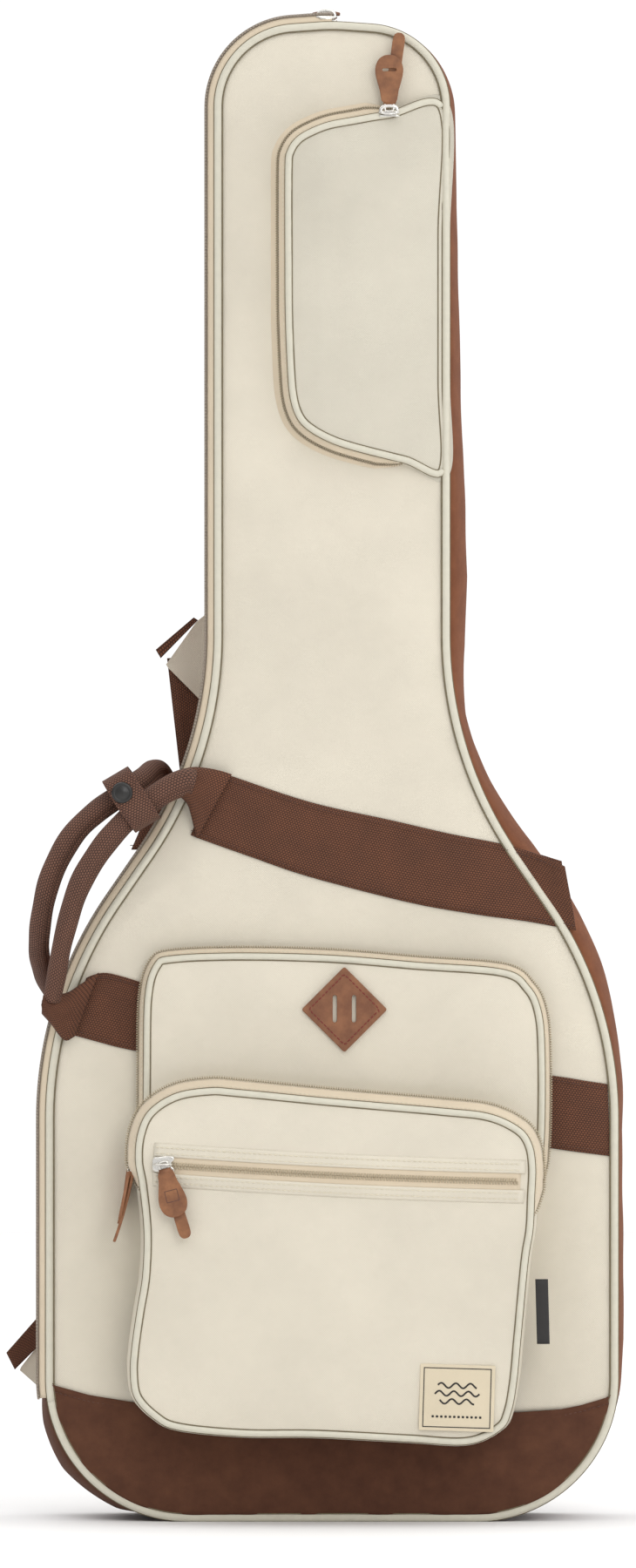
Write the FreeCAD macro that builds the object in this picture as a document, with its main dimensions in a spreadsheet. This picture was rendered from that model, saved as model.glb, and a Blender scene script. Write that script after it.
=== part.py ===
import FreeCAD, Part
import math
import os

# Padded gig bag for an electric guitar, standing on its base. Millimetres, +Z up, front towards -Y,
# origin in the middle of the base. "shell" pieces stay still; the front panel and all it carries is
# the lid, which opens about a slanted fold line near its right edge.

V = FreeCAD.Vector
doc = FreeCAD.newDocument("gig_bag")
sheet = doc.addObject("Spreadsheet::Sheet", "sizes")

SIZES = [
    # outline of the shell
    ("base_half_width", 200.5), ("base_corner_radius", 100), ("shoulder_height", 366),
    ("shoulder_radius", 270), ("waist_height", 537), ("waist_radius", 270),
    ("neck_half_width", 82.5), ("neck_corner_height", 1045), ("neck_corner_radius", 58),
    ("shell_height", 1051), ("crown_radius", 150),
    # depth of the shell, front to back, and its layers
    ("shell_depth", 92), ("panel_thickness", 13), ("piping_width", 5.6), ("gusset_skin", 5.3),
    ("side_foam", 9.7), ("lining_thickness", 3), ("body_gap", 0.3), ("tape_skin", 2),
    ("tape_width", 2), ("coil_width", 2.25), ("boot_height", 84), ("boot_skin", 1.5),
    # fold line of the lid
    ("fold_x_at_base", 184), ("fold_x_at_top", 82.5), ("lid_clearance", 1.7),
    # webbing
    ("webbing_width", 51), ("webbing_thickness", 2),
    # pockets
    ("rear_pocket_depth", 20), ("front_pocket_depth", 38), ("neck_pocket_depth", 18),
    ("pocket_wall", 2), ("pocket_corner", 26), ("pocket_slot", 5), ("pocket_piping", 4.4),
    # inside
    ("rest_height", 60), ("rest_depth", 34), ("rest_notch", 30), ("rest_low", 705),
    ("bumper_height", 14), ("bumper_length", 110), ("bumper_width", 44), ("hold_strap_width", 38),
    # handles, straps and hardware
    ("handle_radius", 8), ("pad_length", 300), ("pad_width", 66), ("pad_thickness", 14),
    ("strap_width", 38), ("lock_length", 30), ("lock_thickness", 6), ("wing_thickness", 3),
    ("tab_side", 41), ("tab_thickness", 2.4), ("label_width", 48), ("label_height", 42),
    ("label_thickness", 0.8), ("tag_length", 46), ("tag_reach", 10), ("tag_thickness", 1),
    ("snap_radius", 7), ("snap_height", 2.5),
    ("slider_length", 12), ("slider_width", 9), ("slider_plate", 2.6), ("slider_reach", 3.2),
    ("cheek_thickness", 1.2), ("cheek_length", 3.6), ("pin_radius", 0.8), ("eye_radius", 2),
    ("eye_width", 4.2), ("pull_thickness", 2.4), ("pull_length", 46), ("pull_width", 19),
    ("pull_tail", 8.5),
]
for row, (alias, value) in enumerate(SIZES, 1):
    sheet.set(f"A{row}", alias)
    sheet.set(f"B{row}", str(value))
    sheet.setAlias(f"B{row}", alias)
doc.recompute()


def size(alias):
    return float(getattr(sheet, alias))


half_depth = size("shell_depth") / 2
front = -half_depth
gap = size("body_gap")
nodes = []


def keep(obj, label):
    """Marks a document object as a finished piece."""
    obj.Label = label
    nodes.append(obj)
    return obj


def rounded(points):
    """Closed wire in the XZ plane through (x, z, corner radius) points, corners as tangent arcs."""
    count = len(points)
    spots = [V(p[0], 0, p[1]) for p in points]
    ends = []
    for i, (_, _, radius) in enumerate(points):
        before = (spots[i - 1] - spots[i]).normalize()
        after = (spots[(i + 1) % count] - spots[i]).normalize()
        half = before.getAngle(after) / 2
        reach = radius / math.tan(half) if radius else 0
        middle = (before + after).normalize() if radius else before
        inner = spots[i] + middle * (radius / math.sin(half) - radius)
        ends.append((spots[i] + before * reach, inner, spots[i] + after * reach, radius))
    edges = []
    for i, (start, inner, end, radius) in enumerate(ends):
        if radius:
            edges.append(Part.Arc(start, inner, end).toShape())
        following = ends[(i + 1) % count][0]
        if (following - end).Length > 1e-4:
            edges.append(Part.LineSegment(end, following).toShape())
    return Part.Wire(Part.__sortEdges__(edges))


def shell_outline():
    right = [
        (size("base_half_width"), 0, size("base_corner_radius")),
        (size("base_half_width"), size("shoulder_height"), size("shoulder_radius")),
        (size("neck_half_width"), size("waist_height"), size("waist_radius")),
        (size("neck_half_width"), size("neck_corner_height"), size("neck_corner_radius")),
    ]
    left = [(-x, z, radius) for x, z, radius in reversed(right)]
    return rounded(right + [(0, size("shell_height"), size("crown_radius"))] + left)


def inward(wire, distance):
    return wire.makeOffset2D(-distance) if distance else wire


def flat(label, wire, hole=None):
    """A planar face in the XZ plane, from which slabs are extruded."""
    obj = doc.addObject("Part::Feature", label)
    obj.Shape = Part.makeFace([wire, hole] if hole else [wire], "Part::FaceMakerBullseye")
    return obj


def slab(label, face, depth, start):
    """Extrudes a face along +Y by the expression depth, starting at the expression start."""
    obj = doc.addObject("Part::Extrusion", label)
    obj.Base = face
    obj.DirMode = "Custom"
    obj.Dir = V(0, 1, 0)
    obj.Solid = True
    obj.setExpression("LengthFwd", depth)
    obj.setExpression("Placement.Base.y", start)
    return obj


def block(label, lengths, corner, turn=0):
    """A box from three length expressions and a low corner, turned about Y by turn degrees."""
    obj = doc.addObject("Part::Box", label)
    obj.Placement = FreeCAD.Placement(V(), FreeCAD.Rotation(V(0, 1, 0), turn))
    for key, text in zip(("Length", "Width", "Height"), lengths):
        obj.setExpression(key, str(text))
    for key, text in zip("xyz", corner):
        obj.setExpression(f"Placement.Base.{key}", str(text))
    return obj


def common(label, base, tool):
    obj = doc.addObject("Part::Common", label)
    obj.Base, obj.Tool = base, tool
    return obj


def cut(label, base, tool):
    obj = doc.addObject("Part::Cut", label)
    obj.Base, obj.Tool = base, tool
    return obj


def fuse(label, shapes):
    obj = doc.addObject("Part::MultiFuse", label)
    obj.Shapes = shapes
    return obj


# ---------------------------------------------------------------- outlines and regions
OUTLINE = shell_outline()
piping = size("piping_width")
skin = size("gusset_skin")
foam_in = skin + size("side_foam")
lining_in = foam_in + 2 * gap
boot = size("boot_height")
FAR = 400
TOP = size("shell_height") + 60

panel_face = flat("panel_face", inward(OUTLINE, piping))
lining_face = flat("lining_face", inward(OUTLINE, lining_in))
piping_face = flat("piping_face", OUTLINE, inward(OUTLINE, piping))
skin_face = flat("skin_face", OUTLINE, inward(OUTLINE, skin))
tape_face = flat("tape_face", OUTLINE, inward(OUTLINE, size("tape_skin")))
foam_face = flat("foam_face", inward(OUTLINE, skin), inward(OUTLINE, foam_in))


def fold_x(height):
    low, high = size("fold_x_at_base"), size("fold_x_at_top")
    return low + (high - low) * height / size("shell_height")


def door(label, spread, low):
    """The region that moves with the lid: above low and left of the fold line moved by spread."""
    corners = [(-FAR, low), (fold_x(low) + spread, low), (fold_x(TOP) + spread, TOP), (-FAR, TOP)]
    wire = Part.makePolygon([V(x, 0, z) for x, z in corners + corners[:1]])
    return slab(label, flat(f"{label}_face", wire), "sizes.shell_depth * 3", "-sizes.shell_depth * 3")


lid_region = door("lid_region", 0, boot + size("lid_clearance"))
shell_region = door("shell_region", gap, boot - gap)
above_boot = block("above_boot", [2 * FAR, 2 * FAR, TOP], [-FAR, -FAR, "sizes.boot_height"])
left_half = block("left_half", [FAR, 2 * FAR, TOP], [-FAR, -FAR, "sizes.boot_height"])
right_half = block("right_half", [FAR, 2 * FAR, TOP], [0, -FAR, "sizes.boot_height"])


def split(label, whole, shell_label):
    """Cuts a front piece at the fold line into the lid's part and the shell's part."""
    keep(common(f"{label}_part", whole, lid_region), label)
    return cut(f"{shell_label}_part", whole, shell_region)


# ---------------------------------------------------------------- shell: panels, sides and piping
FRONT = "-sizes.shell_depth / 2"
BACK = "sizes.shell_depth / 2"
SEAM = f"{FRONT} + sizes.piping_width"
INNER = "sizes.shell_depth - 2 * sizes.panel_thickness"

back_whole = slab("back_whole", panel_face, "sizes.panel_thickness",
                  f"{BACK} - sizes.panel_thickness")
keep(common("back_upper", back_whole, above_boot), "back_panel")
keep(cut("back_lower", back_whole, above_boot), "boot_back")
keep(slab("back_lining_slab", lining_face, "sizes.lining_thickness",
          f"{BACK} - sizes.panel_thickness - sizes.lining_thickness"), "back_lining")

front_whole = slab("front_whole", panel_face, "sizes.panel_thickness", FRONT)
front_rest = split("front_panel", front_whole, "front_rest")
keep(common("fold_upper", front_rest, above_boot), "front_panel_fold")
boot_core = cut("boot_core", front_rest, above_boot)
boot_face = slab("boot_face_slab", panel_face, "sizes.boot_skin", f"{FRONT} - sizes.boot_skin")
boot_cover = cut("boot_cover", boot_face, above_boot)
keep(fuse("boot_whole", [boot_core, boot_cover]), "boot_front")
lining_whole = slab("front_lining_slab", lining_face, "sizes.lining_thickness - sizes.body_gap",
                    f"{FRONT} + sizes.panel_thickness")
keep(common("front_lining_part", lining_whole, lid_region), "front_lining")

piping_back = slab("piping_back", piping_face, "sizes.piping_width", f"{BACK} - sizes.piping_width")
keep(piping_back, "back_piping")
piping_front = slab("piping_front", piping_face, "sizes.piping_width", FRONT)
keep(split("front_piping", piping_front, "piping_rest"), "front_piping_sewn")

side_whole = slab("side_whole", skin_face, "sizes.shell_depth - 2 * sizes.piping_width", SEAM)
ZIP_ROOM = "sizes.tape_width * 2 + sizes.coil_width * 2 + sizes.body_gap"
zip_room = block("zip_room", [FAR, ZIP_ROOM, TOP], [-FAR, SEAM, "sizes.boot_height"])
foam_whole = slab("foam_whole", foam_face, f"{INNER} - 2 * sizes.body_gap",
                  f"{FRONT} + sizes.panel_thickness + sizes.body_gap")
side_solid = fuse("side_solid", [cut("side_skin", side_whole, zip_room), foam_whole])
keep(common("side_left", side_solid, left_half), "gusset_left")
keep(common("side_right", side_solid, right_half), "gusset_right")
keep(cut("side_base", side_solid, above_boot), "gusset_base")

HALF_ZIP = "(sizes.tape_width + sizes.coil_width)"
for zip_name, zip_start in (("main_zipper_front", SEAM),
                            ("main_zipper_rear", f"{SEAM} + {HALF_ZIP} + sizes.body_gap")):
    ring = slab(f"{zip_name}_ring", tape_face, HALF_ZIP, zip_start)
    keep(common(f"{zip_name}_part", ring, left_half), zip_name)

# ---------------------------------------------------------------- inside: bumper, neck rest, strap
keep(block("bumper_block", ["sizes.bumper_length", "sizes.bumper_width", "sizes.bumper_height"],
           ["-sizes.bumper_length / 2", "-sizes.bumper_width / 2",
            "sizes.gusset_skin + sizes.side_foam"]), "base_bumper")
INNER_HALF = "(sizes.neck_half_width - sizes.gusset_skin - sizes.side_foam - 2 * sizes.body_gap)"
INNER_BACK = "sizes.shell_depth / 2 - sizes.panel_thickness - sizes.lining_thickness"
rest_block = block("rest_block", [f"2 * {INNER_HALF} - 2", "sizes.rest_depth", "sizes.rest_height"],
                   [f"1 - {INNER_HALF}", f"{INNER_BACK} - sizes.rest_depth", "sizes.rest_low"])
notch = doc.addObject("Part::Cylinder", "notch")
notch.setExpression("Radius", "sizes.rest_notch")
notch.setExpression("Height", "sizes.rest_height * 2")
notch.setExpression("Placement.Base.y", f"{INNER_BACK} - sizes.rest_depth")
notch.setExpression("Placement.Base.z", "sizes.rest_low - sizes.rest_height / 2")
keep(cut("rest_cut", rest_block, notch), "neck_rest")
keep(block("hold_strap", [f"2 * {INNER_HALF} - 2", "sizes.webbing_thickness", "sizes.hold_strap_width"],
           [f"1 - {INNER_HALF}", f"{INNER_BACK} - sizes.rest_depth - sizes.webbing_thickness",
            "sizes.rest_low + (sizes.rest_height - sizes.hold_strap_width) / 2"]), "neck_strap")

# ---------------------------------------------------------------- pockets
WELT_PROUD = "sizes.pocket_piping / 2"
WELT_REACH = 0.4  # how far a pocket's piping stands out past its side


def pocket(label, points, depth, start, slot):
    """A pocket: its cloth box, a piping round its face, and a coil zipper in a slot of its side.

    depth and start are expressions along Y; slot is the low corner and lengths of the box that
    holds the zipper's stretch, as numbers in X and Z.
    """
    line = rounded(points)
    wall = size("pocket_wall")
    welt = size("pocket_piping")
    cloth = f"{start} + {WELT_PROUD}"
    solid = slab(f"{label}_solid", flat(f"{label}_face", inward(line, WELT_REACH)),
                 f"{depth} - {WELT_PROUD}", cloth)
    room_face = flat(f"{label}_room_face", inward(line, WELT_REACH + wall))
    room = slab(f"{label}_room", room_face, f"{depth} - {WELT_PROUD} - 2 * sizes.pocket_wall",
                f"{cloth} + sizes.pocket_wall")
    box = cut(f"{label}_box", solid, room)
    low_x, low_z, wide, high = slot
    middle = f"{start} + ({depth} - sizes.pocket_slot) / 2"
    mouth = block(f"{label}_mouth", [wide, "sizes.pocket_slot", high], [low_x, middle, low_z])
    keep(cut(f"{label}_cloth", box, mouth), label)
    welt_face = flat(f"{label}_welt_face", line, inward(line, welt))
    keep(slab(f"{label}_welt", welt_face, WELT_PROUD, start), f"{label}_piping")
    coil_face = flat(f"{label}_coil_face", inward(line, WELT_REACH), inward(line, WELT_REACH + wall))
    coil_ring = slab(f"{label}_coil_ring", coil_face, "sizes.pocket_slot", middle)
    keep(common(f"{label}_coil_part", coil_ring, mouth), f"{label}_zipper")
    return solid


CORNER = size("pocket_corner")
REAR_POCKET = [(-134, 87, CORNER), (149.4, 87, CORNER), (149.4, 382, CORNER), (-134, 400, CORNER)]
FRONT_POCKET = [(-136, 64, 40), (132, 52, 34), (141, 283, 30), (-130, 302, 40)]
NECK_POCKET = [(75.5, 741, 0), (-6, 764, 34), (-27, 792, 30), (-32, 950, 22), (75.5, 990, 0)]
rear_start = f"{FRONT} - sizes.rear_pocket_depth"
front_start = f"{rear_start} - sizes.front_pocket_depth"
neck_start = f"{FRONT} - sizes.neck_pocket_depth"
rear_solid = pocket("rear_pocket", REAR_POCKET, "sizes.rear_pocket_depth", rear_start,
                    (-150, 238, 270, 184))
pocket("front_pocket", FRONT_POCKET, "sizes.front_pocket_depth", front_start, (-150, 240, 320, 80))
pocket("neck_pocket", NECK_POCKET, "sizes.neck_pocket_depth", neck_start, (-60, 770, 125, 240))

# ---------------------------------------------------------------- webbing bands over the front
BAND_TURN = 13.8
LOW_TURN = 12.2


def band(label, centre, turn, start, length=460):
    """A straight webbing band across a panel, turned about Y and trimmed to the panel's edge."""
    strip = block(f"{label}_strip", [length, "sizes.webbing_thickness", "sizes.webbing_width"],
                  [0, start, 0], turn)
    angle = math.radians(turn)
    reach, rise = length / 2, size("webbing_width") / 2
    x = centre[0] - reach * math.cos(angle) - rise * math.sin(angle)
    z = centre[1] + reach * math.sin(angle) - rise * math.cos(angle)
    strip.setExpression("Placement.Base.x", str(round(x, 3)))
    strip.setExpression("Placement.Base.z", str(round(z, 3)))
    edge = slab(f"{label}_edge", panel_face, "sizes.webbing_thickness", start)
    return common(f"{label}_trimmed", strip, edge)


ON_FRONT = f"{FRONT} - sizes.webbing_thickness"
upper_band = band("upper_band", (24, 474.5), BAND_TURN, ON_FRONT)
keep(common("upper_band_part", upper_band, lid_region), "front_webbing_upper")
lower_band = band("lower_band", (10, 321.5), LOW_TURN, ON_FRONT)
lower_bare = cut("lower_bare", lower_band, rear_solid)
keep(split("front_webbing_lower", lower_bare, "lower_end"), "front_webbing_lower_end")
keep(band("back_upper_band", (24, 474.5), BAND_TURN, BACK), "back_webbing_upper")
keep(band("back_lower_band", (10, 321.5), LOW_TURN, BACK), "back_webbing_lower")


# ---------------------------------------------------------------- carry handles and their wrap
def bent(points):
    """An open path of straight runs joined by tangent arcs, each as large as its runs allow."""
    spots = [V(*point) for point in points]
    edges, here = [], spots[0]
    for before, corner, after in zip(spots, spots[1:], spots[2:]):
        back, ahead = before - corner, after - corner
        reach = 0.45 * min(back.Length, ahead.Length)
        back.normalize()
        ahead.normalize()
        half = back.getAngle(ahead) / 2
        middle = (back + ahead).normalize()
        inner = corner + middle * (reach / math.cos(half) - reach * math.tan(half))
        edges.append(Part.LineSegment(here, corner + back * reach).toShape())
        edges.append(Part.Arc(corner + back * reach, inner, corner + ahead * reach).toShape())
        here = corner + ahead * reach
    edges.append(Part.LineSegment(here, spots[-1]).toShape())
    return Part.Wire(edges)


def rolled(label, points):
    """A handle of rolled webbing: a round bar along a bent path."""
    path = bent(points)
    first = path.Edges[0]
    ring = Part.makeCircle(size("handle_radius"), V(*points[0]), first.tangentAt(first.FirstParameter))
    obj = doc.addObject("Part::Feature", label)
    obj.Shape = path.makePipeShell([Part.Wire(ring)], True, True)
    return keep(obj, label)


# The handles were drawn beside a shell of these sizes, and move out and forward with it.
DRAWN_HALF_WIDTH, DRAWN_LIFT = 200.5, 56.3
lift = half_depth + size("webbing_thickness") + size("handle_radius") + gap
FLANK_SLOPE = ((size("base_half_width") - DRAWN_HALF_WIDTH)
               / (size("waist_height") - size("shoulder_height")))
FORWARD = DRAWN_LIFT - lift


def outward(height):
    """How far the shell's left flank has moved in X at a height, from where it was drawn."""
    return -FLANK_SLOPE * (size("waist_height") - height)


def beside(points):
    return [(x + outward(z), y, z) for x, y, z in points]


rolled("front_handle", beside([(-112, -lift, 515), (-141, -lift - 6, 497), (-177, -lift - 8, 451),
                               (-190, -lift - 5, 405), (-191, -lift, 370)]))
rolled("rear_handle", beside([(-128, lift, 508), (-137, 8, 522), (-139, FORWARD - 48, 524),
                              (-186, FORWARD - 52, 484), (-206, FORWARD - 40, 440), (-208, 5, 396),
                              (-202, lift, 380)]))

# The wrap is a square tube 2 mm thick round both handles, lying across them.
WRAP_TURN = 42
SNAP_HEIGHT = 506
wrap_shift = outward(SNAP_HEIGHT)
WRAP_OUTER = ([57, 60, 18], [wrap_shift - 174.6, FORWARD - 76, 518.3])
WRAP_INNER = ([53, 56, 60], [wrap_shift - 186.5, FORWARD - 74, 502.1])
wrap_outer = block("wrap_outer", *WRAP_OUTER, WRAP_TURN)
wrap_inner = block("wrap_inner", *WRAP_INNER, WRAP_TURN)
keep(cut("wrap_band", wrap_outer, wrap_inner), "handle_wrap")
SNAP_CENTRE = V(wrap_shift - 146, WRAP_OUTER[1][1], SNAP_HEIGHT)
snap = doc.addObject("Part::Cylinder", "snap")
snap.setExpression("Radius", "sizes.snap_radius")
snap.setExpression("Height", "sizes.snap_height")
snap.Placement = FreeCAD.Placement(SNAP_CENTRE, FreeCAD.Rotation(V(1, 0, 0), 90))
keep(snap, "snap_cap")

# ---------------------------------------------------------------- shoulder straps on the back
STRAP_START = f"{BACK} + sizes.webbing_thickness + sizes.body_gap"
SIDES = {"left": -1, "right": 1}
PAD_TOP = 520


def plate(label, points, depth, start, side=1):
    wire = Part.makePolygon([V(side * x, 0, z) for x, z in points + points[:1]])
    return slab(f"{label}_slab", flat(f"{label}_face", wire), depth, start)


def pair(label, shapes):
    """Two equal pieces, one on each strap, kept as one node of separate solids."""
    group = doc.addObject("Part::Compound", f"{label}_pair")
    group.Links = shapes
    keep(group, label)


STRAP_PLATES = {}
for name, side in SIDES.items():
    tuck = 0 if name == "left" else -34
    inner = 46 + tuck
    outer = inner + size("pad_width")
    drop = PAD_TOP - size("pad_length")
    reach = 226 + tuck
    band_out = inner + 12 + size("webbing_width")
    STRAP_PLATES[name] = {
        "strap_wings_upper": plate(
            f"wing_upper_{name}",
            [(81 + tuck, 645), (95 + tuck, 631), (117 + tuck, 601), (86 + tuck, 571), (40, 590),
             (40, 650)],
            "sizes.wing_thickness", STRAP_START, side),
        "strap_webbing_upper": plate(
            f"webbing_upper_{name}",
            [(inner + 12, 612), (band_out, 612), (band_out - 2, PAD_TOP + 1), (inner + 10, PAD_TOP + 1)],
            "sizes.webbing_thickness", f"{STRAP_START} + sizes.wing_thickness + sizes.body_gap", side),
        "strap_webbing_lower": plate(
            f"webbing_lower_{name}",
            [(inner + 20, 186), (reach - 20, 142), (reach + 4, 112), (reach - 8, 98),
             (inner + 20, 186 - size("strap_width"))],
            "sizes.webbing_thickness", STRAP_START, side),
        "strap_wings_lower": plate(
            f"wing_lower_{name}",
            [(reach - 22, 123), (reach - 5, 101), (reach - 22, 86), (130, 92), (130, 140)],
            "sizes.wing_thickness", f"{STRAP_START} + sizes.webbing_thickness + sizes.body_gap", side),
    }
    pad = plate(f"pad_{name}", [(inner, drop), (outer, drop), (outer, PAD_TOP), (inner, PAD_TOP)],
                "sizes.pad_thickness", STRAP_START, side)
    keep(pad, f"shoulder_pad_{name}")
    near, far, high = inner + 14, outer - 14, drop - 1
    low = high - size("lock_length")
    lock = plate(f"lock_{name}", [(near, low), (far, low), (far, high), (near, high)],
                 "sizes.lock_thickness", f"{STRAP_START} + 4", side)
    keep(lock, f"ladder_lock_{name}")
for label in STRAP_PLATES["left"]:
    pair(label, [STRAP_PLATES[name][label] for name in SIDES])

# ---------------------------------------------------------------- trim on the pockets
REAR_CLOTH = f"{rear_start} + {WELT_PROUD}"
FRONT_CLOTH = f"{front_start} + {WELT_PROUD}"
TAB_X, TAB_Z, TAB_TURN = 8.5, 357, 45
tab = block("tab_plate", ["sizes.tab_side", "sizes.tab_thickness", "sizes.tab_side"],
            [f"{TAB_X} - sizes.tab_side * {math.sqrt(0.5)}", f"{REAR_CLOTH} - sizes.tab_thickness",
             TAB_Z], TAB_TURN)
SLOT_WIDE, SLOT_HIGH, SLOT_SHIFT = 2.4, 20, 6.7
for name, shift in (("low", -SLOT_SHIFT), ("high", SLOT_SHIFT)):
    slot = block(f"tab_slot_{name}", [SLOT_WIDE, 10, SLOT_HIGH],
                 [TAB_X + shift - SLOT_WIDE / 2, f"{REAR_CLOTH} - 5", TAB_Z - SLOT_HIGH / 2])
    tab = cut(f"tab_{name}", tab, slot)
keep(tab, "lash_tab")
LABEL_X, LABEL_Z = 87, 92
keep(block("label_plate", ["sizes.label_width", "sizes.label_thickness", "sizes.label_height"],
           [f"{LABEL_X} - sizes.label_width / 2", f"{FRONT_CLOTH} - sizes.label_thickness",
            f"{LABEL_Z} - sizes.label_height / 2"]), "woven_label")
TAG_SPOT = [139.5, f"{front_start} + 6", 127]
keep(block("tag_plate", ["sizes.tag_reach", "sizes.tag_thickness", "sizes.tag_length"], TAG_SPOT),
     "side_tag")

SLASH_TURN = 2.7
SLASH_TAPE = ([255, 1, 16], [-124, f"{FRONT_CLOTH} - 1", 245])
SLASH_COIL = ([251, 1.4, 3], [-122, f"{FRONT_CLOTH} - 1.4", 251.4])
slash = block("slash_tape_block", *SLASH_TAPE, SLASH_TURN)
coil = block("slash_coil_block", *SLASH_COIL, SLASH_TURN)
keep(fuse("slash_zip", [slash, coil]), "slash_zipper")


# ---------------------------------------------------------------- sliders and leather pulls
def slider(label, pull_label, spot, outward, hang, raised=0):
    """A zipper slider with a cross pin, and the leather pull whose eye turns on that pin.

    In its own frame the pin lies along X at the origin, -Y points out of the cloth and the pull
    runs along -Z; outward and hang are those two directions on the bag. raised is how far, in
    degrees, the pull is lifted off the cloth at rest.
    """
    y_axis = V(*outward) * -1
    place = FreeCAD.Placement(V(*spot), FreeCAD.Rotation(y_axis.cross(V(*hang) * -1), y_axis,
                                                         V(*hang) * -1, "YZX"))
    reach = size("slider_reach")
    wide, long_, thick = size("slider_width"), size("slider_length"), size("slider_plate")
    base = Part.makeBox(wide, thick, long_, V(-wide / 2, reach, -long_ / 2))
    cheek = (size("eye_width") + 2 * gap) / 2
    cheek_thick, cheek_long = size("cheek_thickness"), size("cheek_length")
    front_end = cheek_long / 2 - 0.2
    for low in (-cheek - cheek_thick, cheek):
        base = base.fuse(Part.makeBox(cheek_thick, reach + front_end + 0.2, cheek_long,
                                      V(low, -front_end, -cheek_long / 2)))
    pin = Part.makeCylinder(size("pin_radius"), 2 * cheek + 2, V(-cheek - 1, 0, 0), V(1, 0, 0))
    metal = doc.addObject("Part::Feature", label)
    metal.Shape = base.fuse(pin).removeSplitter()
    metal.Placement = place
    keep(metal, label)

    eye, width = size("eye_radius"), size("eye_width")
    high, tail, thin = size("pull_length"), size("pull_tail"), size("pull_thickness")
    broad = size("pull_width")
    right = [(width / 2, -1.2), (width / 2, -5), (tail / 2, -8), (broad / 2, -22),
             (broad / 2, -26), (tail / 2, -32), (tail / 2, -high)]
    outline = right + [(-x, z) for x, z in reversed(right)]
    wire = Part.makePolygon([V(x, -thin / 2, z) for x, z in outline + outline[:1]])
    leather = Part.Face(wire).extrude(V(0, thin, 0))
    leather = leather.fuse(Part.makeCylinder(eye, width, V(-width / 2, 0, 0), V(1, 0, 0)))
    bore = Part.makeCylinder(size("pin_radius") + gap, 2 * width, V(-width, 0, 0), V(1, 0, 0))
    strap = doc.addObject("Part::Feature", pull_label)
    strap.Shape = leather.cut(bore)
    strap.Placement = place * FreeCAD.Placement(V(), FreeCAD.Rotation(V(1, 0, 0), -raised))
    keep(strap, pull_label)


UP, DOWN, OUT, LEFT, IN = (0, 0, 1), (0, 0, -1), (0, -1, 0), (-1, 0, 0), (0, 1, 0)
plate_out = size("slider_reach") + size("slider_plate") + gap
rear_face = front - size("rear_pocket_depth")
front_face = rear_face - size("front_pocket_depth")
slider("main_slider", "main_pull", (-4, front + 10, size("shell_height") + plate_out), UP, IN)
slider("neck_slider", "neck_pull", (40, front - 9, 983 + plate_out), UP, OUT, 90)
slider("rear_pocket_slider", "rear_pocket_pull", (-133.6 - plate_out, front - 10, 262), LEFT, DOWN)
slider("front_pocket_slider", "front_pocket_pull", (-132 - plate_out - 1.5, rear_face - 19, 250),
       LEFT, DOWN)
slash_out = plate_out + 1.4 - size("pocket_piping") / 2
slider("slash_slider", "slash_pull", (-117, front_face - slash_out, 252.6), OUT, DOWN)

# ---------------------------------------------------------------- check and write
doc.recompute()
names = [obj.Label for obj in nodes]
assert len(set(names)) == len(names), "two pieces share a name"
for obj in doc.Objects:
    if "Invalid" in obj.State or "Error" in obj.State:
        raise RuntimeError(f"{obj.Label} failed: {obj.State}")
os.makedirs("parts", exist_ok=True)
for obj in nodes:
    shape = obj.Shape
    if shape.isNull() or not shape.isValid() or shape.Volume <= 0:
        raise RuntimeError(f"{obj.Label} has no valid solid")
    if not shape.Solids:
        raise RuntimeError(f"{obj.Label} is not solid")
    shape.exportStep(f"parts/{obj.Label}.step")
print(len(nodes), "pieces")
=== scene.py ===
import math

import bmesh
import bpy
import numpy as np
from mathutils import Matrix, Vector, noise


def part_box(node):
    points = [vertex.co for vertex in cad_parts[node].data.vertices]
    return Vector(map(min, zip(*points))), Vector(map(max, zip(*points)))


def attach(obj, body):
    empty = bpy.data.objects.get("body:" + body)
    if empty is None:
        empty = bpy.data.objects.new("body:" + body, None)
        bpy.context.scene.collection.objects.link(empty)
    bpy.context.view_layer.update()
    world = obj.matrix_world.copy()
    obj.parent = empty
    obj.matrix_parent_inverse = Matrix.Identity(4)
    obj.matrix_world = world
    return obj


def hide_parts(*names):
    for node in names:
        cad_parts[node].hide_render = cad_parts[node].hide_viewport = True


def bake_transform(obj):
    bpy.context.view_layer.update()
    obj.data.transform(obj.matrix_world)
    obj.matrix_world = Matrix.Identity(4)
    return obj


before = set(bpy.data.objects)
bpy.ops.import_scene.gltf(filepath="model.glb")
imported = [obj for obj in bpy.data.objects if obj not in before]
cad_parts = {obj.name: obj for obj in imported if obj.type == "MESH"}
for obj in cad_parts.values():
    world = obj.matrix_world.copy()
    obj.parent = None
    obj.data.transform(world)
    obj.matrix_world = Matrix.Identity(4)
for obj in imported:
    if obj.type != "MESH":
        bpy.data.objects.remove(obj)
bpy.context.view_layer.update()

# A padded gig bag. Everything is in metres, in the frame's axes: +Z up, the front towards -Y.
MM = 0.001
HALF_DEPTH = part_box("back_panel")[1].y
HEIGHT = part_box("back_piping")[1].z
PIPE = (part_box("back_piping")[1].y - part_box("back_piping")[0].y) / 2
FRONT_Y = -HALF_DEPTH
BOOT_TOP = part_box("boot_back")[1].z


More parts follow.
